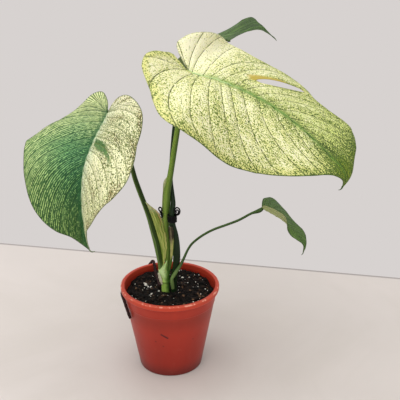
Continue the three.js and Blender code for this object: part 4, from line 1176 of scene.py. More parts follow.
def soil_height(x, y):
    """Height of the potting mix, which is mounded, lumpy and banked up at the back."""
    share = math.hypot(x, y) / MOUTH_RADIUS
    lumps = math.sin(0.31 * x + 1.3) * math.cos(0.27 * y - 0.4)
    lumps += 0.6 * math.sin(0.53 * y + 0.21 * x)
    coarse = noise.fractal(Vector((x * 0.16, y * 0.16, 3.1)), 0.9, 2.1, 4)
    crumbs = noise.fractal(Vector((x * 0.6, y * 0.6, 9.7)), 0.8, 2.2, 3)
    large = SOIL_MOUND * (1 - share**2) + SOIL_BANK * smooth_step(y, 8, 36) + SOIL_LUMP * lumps
    return SOIL_EDGE + large + SOIL_COARSE * coarse + SOIL_CRUMB * crumbs


def soil_ground():
    """The body of the mix: a lumpy top and plain sides down to the pot's floor."""
    rim = inner_radius(SOIL_EDGE) - SOIL_CLEARANCE
    turns = [(math.cos(a), math.sin(a)) for a in round_angles(SOIL_SECTORS)]
    points = [(0, 0, soil_height(0, 0))]
    for i in range(1, SOIL_RINGS + 1):
        radius = rim * i / SOIL_RINGS
        ring = [(radius * c, radius * s) for c, s in turns]
        points += [(x, y, soil_height(x, y)) for x, y in ring]
    sides = [(inner_radius(STEP_HEIGHT) - SOIL_CLEARANCE, STEP_HEIGHT),
             (inner_radius(FLOOR_TOP + 2) - SOIL_CLEARANCE, FLOOR_TOP + 2.3),
             (inner_radius(FLOOR_TOP) - 2.3, FLOOR_TOP + 0.3)]
    for radius, z in sides:
        points += [(radius * c, radius * s, z) for c, s in turns]
    grid = 1 + np.arange(len(points) - 1).reshape(-1, SOIL_SECTORS)
    after = np.roll(grid, -1, 1)
    faces = []
    for here, there in zip(grid.T.tolist(), after.T.tolist()):
        faces.append((0, here[0], there[0]))
        faces += zip(here, here[1:], there[1:], there)
    faces.append(tuple(grid[-1, ::-1].tolist()))
    return np.array(points, float), faces


def chip(random, size, squash, rough):
    """A small irregular lump: its points round the origin and its faces."""
    lump = bmesh.new()
    bmesh.ops.create_icosphere(lump, subdivisions=3 if size > 1.3 else 2, radius=1.0)
    shift = Vector(random.uniform(-50, 50, 3))
    points = []
    for v in lump.verts:
        fine = 0.4 * rough * noise.noise(v.co * 3.1 + shift)
        grow = 1 + rough * noise.noise(v.co * 1.3 + shift) + fine
        points.append(np.array(v.co) * grow * size * squash)
    faces = [[v.index for v in f.verts] for f in lump.faces]
    lump.free()
    spin, tip = random.uniform(0, 2 * math.pi), random.uniform(-0.5, 0.5)
    c, s, ct, st = math.cos(spin), math.sin(spin), math.cos(tip), math.sin(tip)
    turn = np.array([[c, -s * ct, s * st], [s, c * ct, -c * st], [0, st, ct]])
    return np.array(points) @ turn.T, faces


def scattered(random, count, sizes):
    """Random places and sizes on the soil, clear of the stem."""
    out = []
    while len(out) < count:
        radius, angle = SOIL_REACH * math.sqrt(random.random()), 2 * math.pi * random.random()
        x, y = radius * math.cos(angle), radius * math.sin(angle)
        if math.hypot(x + 2, y + 2) > STEM_GAP:
            out.append((x, y, random.uniform(*sizes)))
    return out


def soil_pieces(chips, grains):
    random = np.random.default_rng(4)
    points, faces = soil_ground()
    kinds = [0] * len(faces)
    stock = ((SEEN_BARK, 1, (1.25, 0.8, 0.42), 0.75),
             (scattered(random, chips, (0.6, 2.2)), 1, (1.35, 0.7, 0.45), 0.8),
             (SEEN_PERLITE, 2, (1.0, 0.9, 0.8), 0.5),
             (scattered(random, grains, (0.35, 0.85)), 2, (1.0, 0.9, 0.85), 0.5))
    all_points, count = [points], len(points)
    for places, kind, squash, rough in stock:
        for x, y, size in places:
            lump, sides = chip(random, size, np.array(squash), rough)
            all_points.append(lump + (x, y, soil_height(x, y) + size * squash[2] * 0.3))
            faces += [[i + count for i in face] for face in sides]
            kinds += [kind] * len(sides)
            count += len(lump)
    return np.vstack(all_points), faces, kinds


def mix_paint(colour):
    paint = Paint("potting mix")
    place = paint.place()
    lumps = spots(place, 330.0, 4.0, 0.7)
    tone = spots(place, 620.0, 2.0)
    # Near black in the hollows of the lumps: partly the dark wet mix and partly painted shade
    base = mix(ease(lumps, 0.42, 0.66), srgb(5, 4, 4), colour)
    base = mix(ease(tone, 0.58, 0.68) * 0.6, base, srgb(66, 50, 40))
    base = mix(ease(cells(place, 620.0), 0.16, 0.08) * ease(tone, 0.5, 0.6) * 0.8, base,
               srgb(150, 134, 112))
    return paint.finish(base, 0.7 + tone * 0.3, lumps + tone * 0.5, 1.5, 0.2)


def bark_paint():
    paint = Paint("bark chips")
    place = paint.place()
    shade = spots(place, 190.0, 1.0)
    grain = spots(place, 1400.0, 3.0, 0.7)
    base = mix(ease(shade, 0.42, 0.62), srgb(8, 6, 6), srgb(44, 31, 25))
    base = mix(ease(shade, 0.64, 0.7), base, srgb(120, 92, 68))
    base = tint(base, 0.5 + grain * 1.0)
    return paint.finish(base, 0.75 + grain * 0.2, grain, 0.4, 0.25)


def perlite_paint():
    paint = Paint("perlite")
    place = paint.place()
    pits = spots(place, 1500.0, 3.0, 0.7)
    stain = spots(place, 300.0, 2.0)
    base = mix(ease(stain, 0.5, 0.75) * 0.6, srgb(238, 234, 224), srgb(170, 150, 122))
    base = tint(base, 0.8 + pits * 0.35)
    return paint.finish(base, 0.85, pits, 0.3)


# Stalk centrelines as x, y, z and radius from the foot to the joint, the same as the solids' but
# for the back one, whose foot is nearer the stem and which is thicker above the tie
STALKS = {
    "left": [(-8.6, -1, 106.45, 2.7), (-8.8, -1, 110, 2.8), (-9.6, -0.8, 117, 3),
             (-11.6, 0, 130, 3.4), (-16.1, 1, 150, 3.2), (-19.9, 2, 164, 2.8), (-24, 3, 176, 2.5),
             (-28.2, 4, 188, 2.5), (-32.4, 5, 201, 2.4), (-36, 5.4, 216, 2.2),
             (-41, 5.8, 231, 2.1), (-46.6, 5.8, 246, 2.1), (-50.6, 5, 258, 2.4),
             (-53, 2.4, 268.8, 2.5)],
    "centre": [(-2.3, 1.2, 106.45, 2.6), (-2.2, 1.5, 111, 2.7), (-1.8, 2.4, 126, 2.8),
               (-2.2, 3.2, 142, 3), (-3, 3.6, 156, 3.2), (-2.5, 2.9, 166, 3.2),
               (-1.9, 1.4, 175, 3.4), (-1.4, -0.6, 188, 3.3), (1.8, -1.5, 207, 2.9),
               (5.7, -1.6, 231, 2.7), (9.5, -1.2, 255, 2.6), (13.1, -0.4, 277, 2.6),
               (16.2, 2, 294, 2.8), (18, 5.4, 305.25, 2.9)],
    "back": [(3.9, -2, 66, 3.1), (3.9, -2, 80, 3.2), (4.2, -2, 96, 3.2), (6, -2, 108, 3.4),
             (7.2, -2.4, 119, 3.6), (7.2, -3, 130, 3.6), (6, -3.5, 145, 3.2), (3.3, -3.6, 158, 3),
             (3, -3.2, 167.4, 2.7), (4.2, 0.4, 177, 2.5), (3.2, 4, 187, 2.3), (2, 5.5, 198, 2.2),
             (2.4, 5.6, 211, 1.9), (3.2, 5.8, 223, 1.9), (4.4, 7, 237, 1.9), (6, 11, 252, 1.9),
             (9, 22, 269, 2), (13, 45, 285, 2), (17, 72, 296, 2), (21.5, 100.4, 303.55, 2.2)],
    "small": [(2.2, -7.3, 98.5, 1.7), (4.9, -7.8, 104, 1.8), (8.3, -7.6, 109.6, 1.7),
              (11.9, -5.3, 114.8, 1.5), (15, -2, 120.6, 1.3), (18.2, 0.6, 127, 1.2),
              (21.6, 1, 132.6, 1.2), (26.1, 0, 137.8, 1.2), (33, -1.4, 144, 1.2),
              (43, -3.6, 151, 1.2), (55, -6, 157, 1.2), (68.5, -8, 163.6, 1.2),
              (80, -10.2, 171.4, 1.2), (90.3, -12, 177.2, 1.3)],
}

# Where the two main stalks run down inside the stem, and where the small one leaves the back one
STALK_FEET = {"left": [(-6.6, -2, 95, 3)], "centre": [(-4.4, -1.4, 95, 3.2)], "back": [],
              "small": [(3.2, -4.6, 86, 1.6), (2.4, -6.3, 93, 1.9)]}

# Free edges of the leaf sheaths, as x, y and z downwards from where each leaves its stalk
SHEATHS = {
    "left": [(-21.9, 0.8, 178.5), (-17.4, 0.6, 174.6), (-12, 0.6, 170), (-7.2, 1.2, 161.5),
             (-6, 0.8, 156), (-3.4, -0.9, 145), (-2.5, -1.3, 134), (-3.4, -2, 123),
             (-5.4, -3.2, 113), (-6.4, -5, 104)],
    "centre": [(-0.6, -1.5, 207), (-3.9, -1.1, 202.5), (-5.6, -0.6, 190), (-6.6, 1.2, 176),
               (-7.1, 2.9, 166), (-6.9, 3.5, 155), (-5.4, 3.2, 142), (-4.5, 2.4, 126)],
}

# Sections of the stem, as x, y, z, half width and half depth
STEM = [(-4.5, -3, 66, 3.6, 3.6), (-4.4, -3, 78, 3.9, 3.8), (-4.3, -3, 88, 4.1, 4),
        (-4.3, -3, 92.6, 4.2, 4.1), (-4.3, -3, 94, 4.7, 4.6), (-4.4, -2.8, 95.6, 4.4, 4.4),
        (-5, -2.4, 100, 5, 4.5), (-5.4, -1.4, 104, 6, 5), (-5.4, -0.6, 106, 6.1, 4.8)]

# Dried sheath remains, as x, y, z and half width, the headings in degrees that their flat sides
# face, and how strongly they curl
DRIED_STRIP = [(-0.4, -4.9, 106.4, 1), (0.6, -6.2, 112, 1.1), (1.6, -7.4, 119, 1.4),
               (2.4, -8, 130, 1.7), (2.7, -8.3, 138, 2.1), (2.3, -8.5, 148, 2.4),
               (1.7, -8.6, 156.6, 2.3)]
OLD_SCALE = [(-8, -7.6, 92.6, 0.8), (-8.8, -7.5, 95, 1.6), (-9.6, -7.2, 98, 2),
             (-10.4, -6.8, 101.4, 1.7), (-11.4, -6.2, 105, 0.7)]
STRIP_HEADING = -90
SCALE_HEADING = 235
STRIP_CURL = 0.25

# Rounded top of the stem between the stalks, drawn up to a point in front of them
STEM_DOME = [(-5.5, -1, 107.6, 5.4, 4), (-5.1, -1.9, 109, 4.2, 3), (-4.4, -2.7, 111, 2.8, 1.9),
             (-3.5, -3.1, 113.6, 1.6, 1.1), (-2.7, -3.2, 116, 0.8, 0.6),
             (-2.2, -3.2, 117.6, 0.3, 0.25)]

# The wire tie: a twisted tail with an eye, a bend behind the centre stalk, a loop at its right
# end and a coil round the back stalk
TIE_TWIST = {"from": (-6.6, 0.2, 163.6), "to": (-8.2, 0.6, 168.6), "radius": 0.62, "turns": 1.5,
             "steps": 18}

TIE_EYE = [(-9.5, 0.5, 170.2), (-9.9, 0.4, 172.1), (-8.7, 0.4, 173.6), (-7.3, 0.5, 172.4),
           (-7.1, 0.6, 170.4)]

TIE_BEND = [(-7.2, 3.6, 162.6), (-4.6, 7.4, 161.4), (-1, 8.4, 160.6), (1.8, 5.2, 160)]

TIE_LOOP = [(7.6, -5.4, 167.6), (9.7, -5.9, 168.6), (10.9, -5.4, 171.4), (9.8, -4.8, 174.6),
            (7.8, -4.9, 175.4), (6.1, -5.6, 173.4), (6.2, -6.4, 170.6), (7.6, -6.8, 169.3),
            (9.2, -6.7, 170.2), (9.5, -6.4, 172.1), (8.6, -6.2, 173.6), (7.4, -6.2, 172.9),
            (7.3, -6.4, 171.4), (8.2, -6.6, 171.1)]

TIE_COIL = {"x": 3.2, "y": -3.5, "from": 160, "pitch": 1.42, "turns": 5.25, "radius": 4.1,
            "steps": 12}

# The aerial root, over the soil and the back of the lip and down the pot's side
AERIAL_ROOT = [(-10.4, 3.4, 85.6, 1.3), (-12, 12, 84.6, 1.4), (-14.6, 26, 83.8, 1.5),
               (-16.6, 35, 86, 1.5), (-17.8, 41.6, 90.2, 1.5), (-19.4, 46.4, 91.8, 1.5),
               (-21.4, 50, 88.8, 1.5), (-26, 47, 83, 1.5), (-33, 37.6, 80.6, 1.5),
               (-40.6, 27.6, 80, 1.5), (-46, 15.6, 80, 1.5), (-48.6, 3, 80.4, 1.5),
               (-47.9, -9.6, 80.8, 1.5), (-45.5, -17.2, 79.6, 1.5), (-43.9, -20.2, 75.6, 1.5),
               (-42, -21.8, 70.5, 1.5), (-40.5, -22.3, 65.5, 1.5), (-39.4, -22.5, 62, 1.4)]


def stalk_shape(ribs, swell):
    """Faint lengthwise ridges, and a swelling where the stalk meets its blade."""
    def shape(angle, run, length):
        to_joint = np.exp(-(((length - run) / 7) ** 2))
        rings = 1 + 0.025 * np.sin((length - run) * 2.6) * to_joint
        ridges = 1 + 0.02 * np.cos(ribs * angle) + 0.012 * np.cos(3 * angle + 1)
        return (1 + swell * to_joint) * rings * ridges
    return shape


def slab(front, back):
    """A closed skin between two grids of points that lie close together."""
    rows, columns = front.shape[:2]
    grid = np.arange(rows * columns).reshape(rows, columns)
    quads = grid_quads(grid)
    faces = [*quads.tolist(), *(quads[:, ::-1] + grid.size).tolist()]
    loop = [*grid[:, 0], *grid[-1, 1:], *grid[::-1, -1][1:], *grid[0, ::-1][1:-1]]
    faces += [(p, p + grid.size, q + grid.size, q) for p, q in zip(loop, loop[1:] + loop[:1])]
    return np.vstack([front.reshape(-1, 3), back.reshape(-1, 3)]), faces


def sheath_wing(stalk, edge, heading):
    """The thin papery web between a stalk and the free edge of its leaf sheath."""
    curve, radius_at = guide(stalk)
    rows = np.linspace(0, 1, 180)
    outer = SmoothCurve(edge).points(rows)
    fine = np.linspace(0, 1, 800)
    order = np.argsort(curve.points(fine)[:, 2])
    shares = np.interp(outer[:, 2], curve.points(fine)[order, 2], fine[order])
    away, left = section_axes(curve.tangents(shares))
    c, s = cos_sin(heading)
    inner = curve.points(shares) + (away * c + left * s) * (radius_at(shares)[:, None] * 0.82)
    across = np.linspace(0, 1, 25)[None, :, None]
    rise = 1 - rows[:, None, None]
    span = np.linalg.norm(outer - inner, axis=1)[:, None, None]
    wobble = 0.03 * np.sin(rise * 41) + 0.025 * np.sin(rise * 97 + 1)
    frayed = 1 + np.minimum(span / 6, 1) * wobble
    middle = inner[:, None] + (outer - inner)[:, None] * across * frayed
    facing = unit(np.cross(curve.tangents(shares), outer - inner))[:, None]
    facing = facing * np.where(facing[..., 1:2] > 0, -1, 1)
    folds = np.sin(across * 19 + rise * 3) * 0.14 + np.sin(across * 43 + rise * 2) * 0.06
    lift = np.minimum(span / 6, 1) * (np.sin(math.pi * across) * 0.9 + folds)
    thick = 0.34 * (1 - across) + 0.12
    points, faces = slab(middle + facing * (lift + thick), middle + facing * (lift - thick))
    place = triples(across[..., 0], rise[..., 0], span[..., 0])
    return points, faces, {"sheath_place": np.tile(place, (2, 1))}


def sheath_paint(name, green, straw, dry):
    paint = Paint(name)
    across, rise, _ = paint.fact("sheath_place")
    fibres = spots(join(across * 4.6, rise * 2.0, 0.0), 2.2, 2.0, 0.6)
    coarse = spots(join(across * 2.2, rise * 1.2, 3.0), 1.6, 2.0, 0.5)
    blotch = spots(join(across * 3, rise * 9, 4.0), 1.0, 3.0)
    colour = mix(ease(coarse + across * 0.3, 0.46, 0.74), green, straw)
    dried = ease(rise, 0.3, 0.8) * ease(across, 0.3, 0.9)
    colour = mix(dried * ease(fibres, 0.5, 0.6) * 0.9, colour, dry)
    colour = mix(ease(blotch, 0.62, 0.75) * 0.3, colour, dry)
    colour = mix(ease(0.52 - fibres, 0.02, 0.1) * 0.7, colour, green)
    # Painted light: the web is paler near its thin top, as light shining through it
    colour = mix(ease(rise, 0.74, 0.92) * 0.6, colour, srgb(216, 220, 176))
    colour = tint(colour, 0.45 + fibres * 1.05)
    colour = mix(ease(across, 0.95, 0.99) * 0.5, colour, srgb(150, 120, 84))
    return paint.finish(colour, 0.55 + fibres * 0.2, fibres + coarse * 0.5, 0.5, SHEATH_GLOSS,
                        SHEATH_BODY)


def strip_mesh(centreline, heading, rough):
    """A thin curled strip with uneven edges along points whose fourth numbers are half widths."""
    curve, half_at = guide(centreline)
    shares = np.linspace(0, 1, 72)[:, None]
    centres, half = curve.points(shares[:, 0])[:, None], half_at(shares)
    c, s = cos_sin(heading)
    across, out = np.array([-s, c, 0]), np.array([c, s, 0])
    spread = np.linspace(-1, 1, 17)[None]
    fray = 1 + rough * (np.sin(shares * 37) * 0.5 + np.sin(shares * 83 + 1) * 0.5)
    bend = -STRIP_CURL * spread**2 * half + 0.18 * np.sin(shares * 21 + spread * 4)
    thick = 0.3 * (1 - 0.75 * spread**2)
    middle = centres + across * (spread * half * fray)[..., None]
    front, back = (out * (bend + side * thick)[..., None] for side in (1, -1))
    points, faces = slab(middle + front, middle + back)
    return points, faces, {"strip_place": np.tile(triples(spread, shares, half), (2, 1))}


def strip_paint(name, lower, upper, change, foot=0.0):
    """Dry sheath: one colour below a height, another above it, with split fibres. foot is how green
    its lowest part still is."""
    paint = Paint(name)
    across, share, _ = paint.fact("strip_place")
    fibres = spots(join(across * 2.6, share * 3.0, 0.0), 2.0, 3.0, 0.7)
    blotch = spots(join(across, share * 9, 5.0), 1.0, 3.0)
    middle = fall(abs(across + 0.15), 0.12, 0.5)
    colour = mix(ease(share + (blotch - 0.5) * 0.2, change - 0.1, change + 0.1), lower, upper)
    colour = mix(middle * ease(blotch + share * 0.3, 0.55, 0.75) * 0.5, colour,
                 srgb(150, 138, 104))
    green = fall(share + (fibres - 0.5) * 0.2, 0.26, 0.4)
    sides = ease(abs(across) + fibres * 0.4, 0.75, 0.95)
    green = green.maths("MAXIMUM", sides * fall(share, change - 0.1, change + 0.1))
    colour = mix(green * foot, colour, srgb(74, 104, 38))
    colour = tint(colour, 0.45 + fibres * 1.1)
    colour = mix(ease(blotch, 0.62, 0.75) * 0.5, colour, srgb(46, 34, 24))
    return paint.finish(colour, 0.8, fibres, 0.35, 0.25)


def twisted(start, end, radius, turns, steps, turned):
    """Points that wind round the line between two places."""
    start, end = np.array(start, float), np.array(end, float)
    away, left = carried_axes(np.array([unit(end - start)]))
    out = []
    for i in range(steps + 1):
        angle = 2 * math.pi * turns * i / steps + turned
        out.append(tuple(start + (end - start) * i / steps
                         + (away[0] * math.cos(angle) + left[0] * math.sin(angle)) * radius))
    return out


def tie_points():
    t, w = TIE_COIL, TIE_TWIST
    strands = [twisted(w["from"], w["to"], w["radius"], w["turns"], w["steps"], turned)
               for turned in (0, math.pi)]
    coil = []
    for i in range(int(t["turns"] * t["steps"]) + 1):
        angle = math.pi / 2 - 2 * math.pi * i / t["steps"]
        x, y = t["radius"] * math.cos(angle), t["radius"] * math.sin(angle)
        coil.append((t["x"] + x, t["y"] + y, t["from"] + t["pitch"] * i / t["steps"]))
    return [*strands[0], *TIE_EYE, *strands[1][::-1], *TIE_BEND, *coil, *TIE_LOOP]


def wire_paint(colour):
    paint = Paint("coated wire")
    cx, cy, run = paint.fact("stalk_place")
    rub = spots(join(cx, cy, run * 0.4), 1.6, 3.0)
    base = mix(ease(rub, 0.6, 0.78) * 0.4, colour, srgb(40, 42, 54))
    return paint.finish(base, 0.46 + rub * 0.2, rub, 0.08, 0.2)


def root_shape(angle, run, length):
    """The knobs and creases of the root's bark."""
    return (1 + 0.06 * np.sin(run * 1.3 + np.cos(angle)) + 0.05 * np.sin(run * 3.7 + 2 * angle)
            + 0.04 * np.cos(3 * angle + run * 0.2))


def root_paint(colour):
    paint = Paint("root bark")
    cx, cy, run = paint.fact("stalk_place")
    rings = spots(join(cx * 0.4, cy * 0.4, run * 0.9), 1.0, 3.0, 0.65)
    flake = spots(join(cx, cy, run * 0.2), 1.6, 3.0)
    base = mix(ease(flake, 0.45, 0.7), colour, srgb(72, 38, 34))
    base = tint(base, 0.6 + rings * 0.8)
    return paint.finish(base, 0.75, rings + flake * 0.5, 0.4, 0.25)


def stem_mesh():
    """The short stem with its node ring and shallow creases, and its top between the stalks."""
    rings = [*STEM, *STEM_DOME]
    curve, wide, deep = guide(rings)
    shares, sides = np.linspace(0, 1, 110), 48
    centres = curve.points(shares)
    angle = round_angles(sides)
    z = centres[:, 2:]
    grow = 1 + 0.018 * np.sin(z * 2.1 + np.cos(angle) * 1.5) + 0.02 * np.sin(angle * 5 + z * 0.2)
    grow = grow + 0.05 * np.exp(-(((z - 94.4 - 0.5 * np.cos(angle + 1)) / 0.55) ** 2))
    x = centres[:, :1] + wide(shares)[:, None] * np.cos(angle) * grow
    y = centres[:, 1:2] + deep(shares)[:, None] * np.sin(angle) * grow
    facts = {"stalk_place": triples(4 * np.cos(angle), 4 * np.sin(angle), z),
             "stalk_way": triples(z, -np.cos(angle), z)}
    return triples(x, y, z), ring_faces(len(shares), sides), facts


def stem_paint(colour):
    """Skin of the stem, painted lighter on its lit side, pale where the sheaths part, dark at the
    node ring and fresher below it.
    """
    paint = Paint("stem skin")
    cx, cy, _ = paint.fact("stalk_place")
    _, leftward, height = paint.fact("stalk_way")
    fibres = spots(join(cx, cy, height * 0.12), 1.1, 3.0, 0.65)
    cloud = spots(join(cx * 0.3, cy * 0.3, height * 0.2), 1.0, 2.0)
    # Painted light and shade: darker on the side away from the light; the pale and fresher patches
    # below show only on the lit side
    base = mix(ease(leftward + (cloud - 0.5), -0.8, 0.6), srgb(54, 92, 26), colour)
    pale = ease(height + cloud * 6, 98.0, 106.0) * ease(leftward + (fibres - 0.5), -0.6, 0.3)
    base = mix(pale * 0.85, base, srgb(194, 216, 158))
    base = mix(ease(height + fibres * 6, 109.0, 116.0) * 0.5, base, srgb(140, 174, 92))
    base = tint(base, 0.72 + fibres * 0.86)
    ring = fall(abs(height - 94.2 + (cloud - 0.5) * 1.2), 0.3, 0.9)
    base = mix(ring * 0.7, base, srgb(52, 82, 30))
    lower = fall(height, 92.0, 94.0)
    base = mix(lower * ease(leftward, -0.5, 0.4) * 0.4, base, srgb(128, 176, 46))
    scar = ease(cells(join(cx * 0.3, cy * 0.3, height * 0.35), 1.0), 0.16, 0.1)
    base = mix(scar * 0.5, base, srgb(120, 96, 62))
    relief = fibres + cloud * 0.4
    return paint.finish(base, 0.45 + fibres * 0.2, relief, 0.3, STALK_GLOSS, STALK_BODY)


# The stage, in metres: where the floor meets the wall, as two points of the ground, how far the
# floor runs, where the camera stands, its tilt up from straight down in degrees and its lens in
# millimetres, the lamps with their sizes and shares of the key light's power, and where they aim
FLOOR_EDGE = [(-0.242, 0.2852), (0.281, 0.1829)]
FLOOR_SPAN = 2.0
CAMERA_PLACE = (0.0305, -0.775, 0.502)
CAMERA_PITCH = 67.526
CAMERA_LENS = 77.4
LAMPS = {"key": ((-0.3, -0.15, 1.6), 1.8, 1), "fill": ((-0.3, -1.6, 1.1), 1.6, 0.5)}
LIT_CENTRE = Vector((0, 0, 0.15))


def lay_floor(colour):
    paint = Paint("pale floor")
    place = paint.place()
    x, y, _ = split(place)
    left, right = (Vector((*end, 0)) for end in FLOOR_EDGE)
    along = (right - left).normalized()
    veins = spots(place, 3.5, 5.0, 0.6, 1.6)
    haze = spots(place, 9.0, 3.0)
    base = mix(ease(veins, 0.4, 0.62) * 0.4, colour, srgb(198, 190, 183))
    base = tint(base, 0.95 + haze * 0.1)
    # Painted shadow: a thin dark line along the edge where the floor meets the wall
    inwards = (x - left.x) * along.y - (y - left.y) * along.x
    base = mix(fall(inwards, 0.0015, 0.005) * 0.7, base, srgb(120, 112, 112))
    surface = paint.finish(base, 0.6)
    way = along * FLOOR_SPAN
    front = Vector((0, -FLOOR_SPAN * 1.5, 0))
    mesh = bpy.data.meshes.new("floor")
    corners = [left - way, left - way + front, right + way + front, right + way]
    mesh.from_pydata(corners, [], [(0, 1, 2, 3)])
    mesh.materials.append(surface)
    piece = placed("floor", mesh)


def studio_world(wall, strength):
    """Soft light from all round, stronger from above; the camera sees the wall's plain colour."""
    paint = Paint("studio", bpy.data.worlds)
    _, _, up = split(paint.node("TexCoord", {}))
    light = (0.5 + ease(up, -0.2, 0.8) * 0.75) * strength
    soft = paint.node("Background", {}, {"Color": (1.0, 0.985, 0.97), "Strength": light})
    plain = paint.node("Background", {}, {"Color": wall, "Strength": 1.0})
    seen = paint.node("LightPath", {})
    shown = paint.node("MixShader", {}, (seen, soft, plain))
    paint.node("OutputWorld", {}, {"Surface": shown})
    return paint.material


def lamp(name, place, size, power):
    data = bpy.data.lights.new(name, "AREA")
    data.shape, data.size, data.energy = "DISK", size, power
    light = placed(name, data)
    light.location = place
    light.rotation_euler = (LIT_CENTRE - Vector(place)).to_track_quat("-Z", "Y").to_euler()


class MONSTERA_OT_pot(bpy.types.Operator):
    """Build the plastic nursery pot with its lip and drain holes"""
    bl_idname = "monstera.pot"
    bl_label = "Pot"

    def execute(self, context):
        chosen = settings(context, "pot")
        profile = rounded(pot_profile(chosen.lip_radius / MM), CORNER_ROUND)
        paint = pot_paint(chosen.wall_colour)
        piece = make_piece("pot_shell", lathe(profile, chosen.sides), [paint], ("pot",),
                           "terracotta_plastic")
        turns = [2 * math.pi * (i + 0.5) / DRAINS["count"] for i in range(DRAINS["count"])]
        holes = [(DRAINS["circle"] * math.cos(t), DRAINS["circle"] * math.sin(t)) for t in turns]
        drill(piece, holes, DRAINS["radius"], 4 * FLOOR_TOP)
        return {"FINISHED"}


class MONSTERA_OT_soil(bpy.types.Operator):
    """Fill the pot with potting mix, bark chips and perlite"""
    bl_idname = "monstera.soil"
    bl_label = "Soil"

    def execute(self, context):
        chosen = settings(context, "soil")
        *shape, kinds = soil_pieces(chosen.chips, chosen.grains)
        paints = [mix_paint(chosen.mix_colour), bark_paint(), perlite_paint()]
        make_piece("soil_mix", shape, paints, ("soil",), "potting_mix", kinds)
        return {"FINISHED"}


class MONSTERA_OT_stem(bpy.types.Operator):
    """Grow the short stem that carries the stalks"""
    bl_idname = "monstera.stem"
    bl_label = "Stem"

    def execute(self, context):
        paint = stem_paint(settings(context, "stem").skin)
        make_piece("stem_short", stem_mesh(), [paint], ("stem",), "stem")
        return {"FINISHED"}


class MONSTERA_OT_stalks(bpy.types.Operator):
    """Grow the four leaf stalks and the webs of their sheaths"""
    bl_idname = "monstera.stalks"
    bl_label = "Stalks"

    def execute(self, context):
        chosen = settings(context, "stalk")
        green, grey = srgb(38, 62, 4), srgb(38, 60, 26)
        looks = {
            "left": ("left", "stalk_green", green, srgb(92, 124, 46), 0.05, 0.7, 0.35, 0.6),
            "centre": ("top", "stalk_light", srgb(74, 102, 30), chosen.light, -0.6, 0.5, 0.0, 0.5),
            "back": ("back", "stalk_dark", chosen.dark, srgb(40, 66, 24), 0.2, 1.2),
            "small": ("small", "stalk_dark", grey, srgb(70, 98, 44), -0.5, 0.7, 0.0, 0.7),
        }
        for name, (leaf, slot, *tints) in looks.items():
            x, y, z = LEAVES[leaf]["midrib"][1]
            line = [*STALK_FEET[name], *STALKS[name], (x, y, z - 0.9, STALKS[name][-1][3] * 0.75)]
            shape = tube(line, chosen.sides, 0.9, stalk_shape(5, 0.3))
            paint = stalk_paint(name + " stalk skin", *tints)
            make_piece("stalk_" + name, shape, [paint], ("petiole_" + name,), slot)
        webs = {"left": (-112, srgb(112, 140, 40), srgb(190, 196, 108), srgb(170, 124, 92)),
                "centre": (95, srgb(116, 148, 60), srgb(150, 172, 92), srgb(150, 136, 84))}
        for name, (heading, *tints) in webs.items():
            shape = sheath_wing(STALKS[name], SHEATHS[name], heading)
            paint = sheath_paint(name + " sheath skin", *tints)
            make_piece("sheath_" + name, shape, [paint], slot="stalk_light")
        return {"FINISHED"}


class MONSTERA_OT_leaves(bpy.types.Operator):
    """Unfold the four leaves"""
    bl_idname = "monstera.leaves"
    bl_label = "Leaves"

    def execute(self, context):
        chosen = settings(context, "leaf")
        quilt = chosen.quilt / MM
        deep = green_leaf_paint("dark green leaf", "back", srgb(40, 66, 18), srgb(78, 108, 42),
                                srgb(108, 136, 120), srgb(140, 162, 118), srgb(142, 162, 104))
        dull = green_leaf_paint("small green leaf", "small", srgb(74, 104, 46), srgb(112, 142, 72),
                                srgb(92, 124, 72), srgb(110, 140, 80), srgb(182, 186, 132))
        looks = {"left": (left_leaf_paint(chosen), "blade_marbled", quilt),
                 "top": (top_leaf_paint(chosen), "blade_cream", quilt),
                 "back": (deep, "blade_green", quilt * 0.7),
                 "small": (dull, "blade_green", quilt * 0.6)}
        for name, (paint, slot, swell) in looks.items():
            shape = blade_mesh(LEAVES[name], swell, slit=name == "top")
            make_piece("leaf_" + name, shape, [paint], ("blade_" + name,), slot, weld=WELD)
        return {"FINISHED"}


class MONSTERA_OT_dried_sheaths(bpy.types.Operator):
    """Add the dried strip and the papery scale"""
    bl_idname = "monstera.dried_sheaths"
    bl_label = "Dried sheaths"

    def execute(self, context):
        straw = settings(context, "sheath").straw
        paint = strip_paint("dried strip skin", straw, srgb(50, 44, 33), 0.68, 1.0)
        make_piece("dried_sheath_strip", strip_mesh(DRIED_STRIP, STRIP_HEADING, 0.1), [paint],
                   ("dried_strip",), "dried_sheath")
        paint = strip_paint("papery scale skin", srgb(206, 200, 168), srgb(214, 214, 186), 0.4)
        make_piece("papery_scale", strip_mesh(OLD_SCALE, SCALE_HEADING, 0.14), [paint],
                   ("old_scale",), "dried_sheath")
        return {"FINISHED"}


class MONSTERA_OT_tie(bpy.types.Operator):
    """Wind the coated wire round the back stalk"""
    bl_idname = "monstera.tie"
    bl_label = "Wire tie"

    def execute(self, context):
        chosen = settings(context, "tie")
        line = [(*p, chosen.radius / MM) for p in tie_points()]
        paint = wire_paint(chosen.coating)
        make_piece("wire_tie", tube(line, 12, 0.35, axes=carried_axes), [paint], ("tie_wire",),
                   "coated_wire")
        return {"FINISHED"}


class MONSTERA_OT_root(bpy.types.Operator):
    """Lay the aerial root over the soil and the lip"""
    bl_idname = "monstera.root"
    bl_label = "Aerial root"

    def execute(self, context):
        paint = root_paint(settings(context, "root").bark)
        make_piece("root_over_rim", tube(AERIAL_ROOT, 18, 0.7, root_shape), [paint],
                   ("aerial_root",), "root_bark")
        return {"FINISHED"}


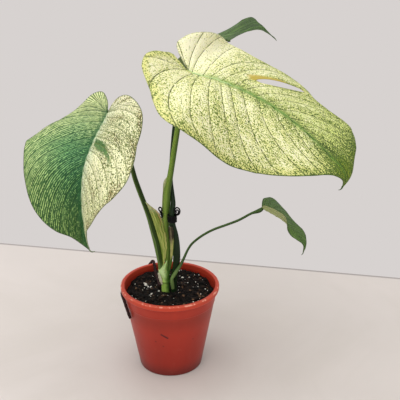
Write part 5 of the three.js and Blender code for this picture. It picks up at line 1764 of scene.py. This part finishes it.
class MONSTERA_OT_stage(bpy.types.Operator):
    """Set the floor, the plain background, the soft lights and the camera"""
    bl_idname = "monstera.stage"
    bl_label = "Stage"

    def execute(self, context):
        chosen = settings(context, "stage")
        lay_floor(chosen.floor_colour)
        context.scene.world = studio_world(chosen.wall_colour, chosen.sky)
        for name, (place, size, share) in LAMPS.items():
            lamp(name, place, size, chosen.key_power * share)
        lens = bpy.data.cameras.new("camera")
        lens.lens, lens.sensor_width, lens.sensor_fit = CAMERA_LENS, 36.0, "HORIZONTAL"
        lens.clip_start = 0.05
        camera = placed("camera", lens)
        camera.location = CAMERA_PLACE
        camera.rotation_euler = (math.radians(CAMERA_PITCH), 0, 0)
        context.scene.camera = camera
        context.scene.view_settings.view_transform = "Standard"
        return {"FINISHED"}


class MONSTERA_PT_panel(bpy.types.Panel):
    """The plant's pieces and their settings"""
    bl_label = "Monstera"
    bl_idname = "MONSTERA_PT_panel"
    bl_space_type = "VIEW_3D"
    bl_region_type = "UI"
    bl_category = "Monstera"

    def draw(self, context):
        for operator, name, _ in STEPS:
            box = self.layout.box()
            box.operator(operator.bl_idname)
            chosen = settings(context, name)
            for key in chosen.bl_rna.properties.keys():
                if key not in ("rna_type", "name"):
                    box.prop(chosen, key)


# Each operator with the name and the kind of its settings
STEPS = [
    (MONSTERA_OT_stage, "stage", StageSettings),
    (MONSTERA_OT_pot, "pot", PotSettings),
    (MONSTERA_OT_soil, "soil", SoilSettings),
    (MONSTERA_OT_stem, "stem", StemSettings),
    (MONSTERA_OT_stalks, "stalk", StalkSettings),
    (MONSTERA_OT_leaves, "leaf", LeafSettings),
    (MONSTERA_OT_dried_sheaths, "sheath", SheathSettings),
    (MONSTERA_OT_tie, "tie", TieSettings),
    (MONSTERA_OT_root, "root", RootSettings),
]
CLASSES = [cls for operator, _, group in STEPS for cls in (group, operator)] + [MONSTERA_PT_panel]


def register():
    for cls in CLASSES:
        bpy.utils.register_class(cls)
    for _, name, group in STEPS:
        setattr(bpy.types.Scene, "monstera_" + name, PointerProperty(type=group))


def unregister():
    for _, name, _ in STEPS:
        delattr(bpy.types.Scene, "monstera_" + name)
    for cls in reversed(CLASSES):
        bpy.utils.unregister_class(cls)


def main():
    register()
    bpy.ops.monstera.stage()
    bpy.ops.monstera.pot()
    bpy.ops.monstera.soil()
    bpy.ops.monstera.stem()
    bpy.ops.monstera.stalks()
    bpy.ops.monstera.leaves()
    bpy.ops.monstera.dried_sheaths()
    bpy.ops.monstera.tie()
    bpy.ops.monstera.root()
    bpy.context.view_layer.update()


if __name__ == "__main__":
    main()
